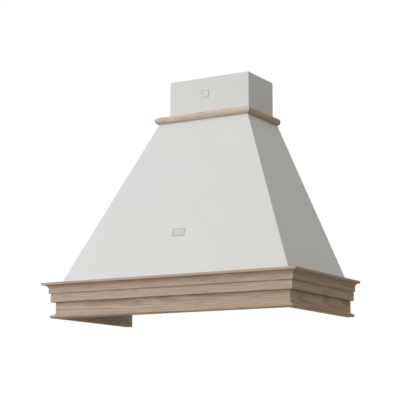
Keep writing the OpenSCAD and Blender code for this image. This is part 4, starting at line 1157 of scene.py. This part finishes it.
@dataclass
class Studio:
    """White surroundings, a pale floor, one soft lamp from the front left, and the camera."""

    eye: Triple = (2.078060, -3.812300, -0.639560)
    azimuth: float = math.radians(30.1)
    rise: float = math.radians(9.79)
    lens: float = 118.453
    sensor: float = 36.0
    aim: Triple = (0.0, -0.23, 0.1)
    lamp_way: Triple = (-0.56, -0.80, 0.36)
    lamp_away: float = 7.0
    lamp_side: float = 8.0
    lamp_power: float = 440.0
    lamp_tint: str = "#FBFDFF"
    air_tint: str = "#FFFDF6"
    horizon: float = 0.48
    zenith: float = 0.57
    floor_z: float = -2.3
    floor_side: float = 60.0
    # The floor's grey as it lights the hood, and its grey and glow as it is looked at.
    floor_bounce: str = "#9F9F9F"
    floor_paper: str = "#CCCCCC"
    floor_glow: float = 0.5

    def camera(self) -> None:
        """Set the camera where the picture was taken from."""
        right = Vector((math.cos(self.azimuth), math.sin(self.azimuth), 0))
        level = Vector((-math.sin(self.azimuth), math.cos(self.azimuth), 0))
        ahead = level * math.cos(self.rise) + Vector((0, 0, math.sin(self.rise)))
        turn = Matrix((right, right.cross(ahead), -ahead)).transposed().to_4x4()
        data = bpy.data.cameras.new("picture_camera")
        data.lens, data.sensor_width = self.lens, self.sensor
        camera = linked("picture_camera", data)
        camera.matrix_world = Matrix.Translation(self.eye) @ turn
        bpy.context.scene.camera = camera

    def lamp(self) -> None:
        """Hang the soft lamp."""
        way = Vector(self.lamp_way).normalized()
        data = bpy.data.lights.new("soft_lamp", "AREA")
        data.shape, data.size, data.energy = "SQUARE", self.lamp_side, self.lamp_power
        data.color = linear(self.lamp_tint)[:3]
        turn = way.to_track_quat("Z", "Y").to_matrix().to_4x4()
        spot = Matrix.Translation(Vector(self.aim) + way * self.lamp_away)
        linked("soft_lamp", data).matrix_world = spot @ turn

    def seen(self, wire: Wiring) -> Node:
        """Wire a switch that is one where the eye, a gloss or a glass looks at the surroundings."""
        path = wire.node("LightPath").outputs
        direct = wire.calc("MAXIMUM", path["Is Camera Ray"], path["Is Glossy Ray"])
        return wire.calc("MAXIMUM", direct, path["Is Transmission Ray"])

    def surroundings(self) -> None:
        """Make the world: white to look at, and otherwise a light that grows a little upwards."""
        world = bpy.data.worlds.new("white_studio")
        bpy.context.scene.world = world
        wire = emptied(world)
        way = wire.node("TexCoord").outputs["Generated"]
        parts = wire.node("SeparateXYZ", {0: way})
        level = wire.spread(parts.outputs["Z"], self.horizon, self.zenith)
        strength = wire.node("Mix", {0: self.seen(wire), 2: level, 3: 1.0}, data_type="FLOAT")
        light = wire.node("Background", {
            "Color": wire.mix(self.seen(wire), self.air_tint, "#FFFFFF"), "Strength": strength})
        wire.node("OutputWorld", {"Surface": light})

    def floor(self) -> None:
        """Lay the pale floor, which keeps the shadow and can be looked through from below."""
        finish = bpy.data.materials.new("floor_pale_paper")
        wire = emptied(finish)
        bounce = wire.node("BsdfDiffuse", {"Color": linear(self.floor_bounce)})
        paper = wire.node("BsdfDiffuse", {"Color": linear(self.floor_paper)})
        glow = wire.node("Emission", {"Color": linear("#FFFFFF"), "Strength": self.floor_glow})
        pale = wire.node("AddShader", {0: paper, 1: glow})
        shown = wire.node("MixShader", {0: self.seen(wire), 1: bounce, 2: pale})
        below = wire.node("NewGeometry").outputs["Backfacing"]
        through = wire.node("MixShader", {0: below, 1: shown, 2: wire.node("BsdfTransparent")})
        wire.node("OutputMaterial", {"Surface": through})
        mesh = bmesh.new()
        bmesh.ops.create_grid(mesh, x_segments=1, y_segments=1, size=self.floor_side / 2)
        bmesh.ops.translate(mesh, verts=mesh.verts, vec=(0, 0, self.floor_z))
        data = bpy.data.meshes.new("floor")
        mesh.to_mesh(data)
        mesh.free()
        data.materials.append(finish)
        floor = linked("floor", data)

    def build(self) -> None:
        """Set up the studio."""
        bpy.context.scene.view_settings.view_transform = "Standard"
        self.camera()
        self.lamp()
        self.surroundings()
        self.floor()


def main() -> None:
    """Build the hood, sub-assembly by sub-assembly, in its studio."""
    logging.basicConfig(level=logging.INFO, format="%(message)s")
    for part in (Studio(), WoodenTrim(), Sheetwork(), Fixings(), Blower(), AirOutlet(), Electrics(),
                 Controls(), GreaseFilters(), Lamps(), BlankPlates()):
        LOG.info("building %s", type(part).__name__)
        part.build()


if __name__ == "__main__":
    main()
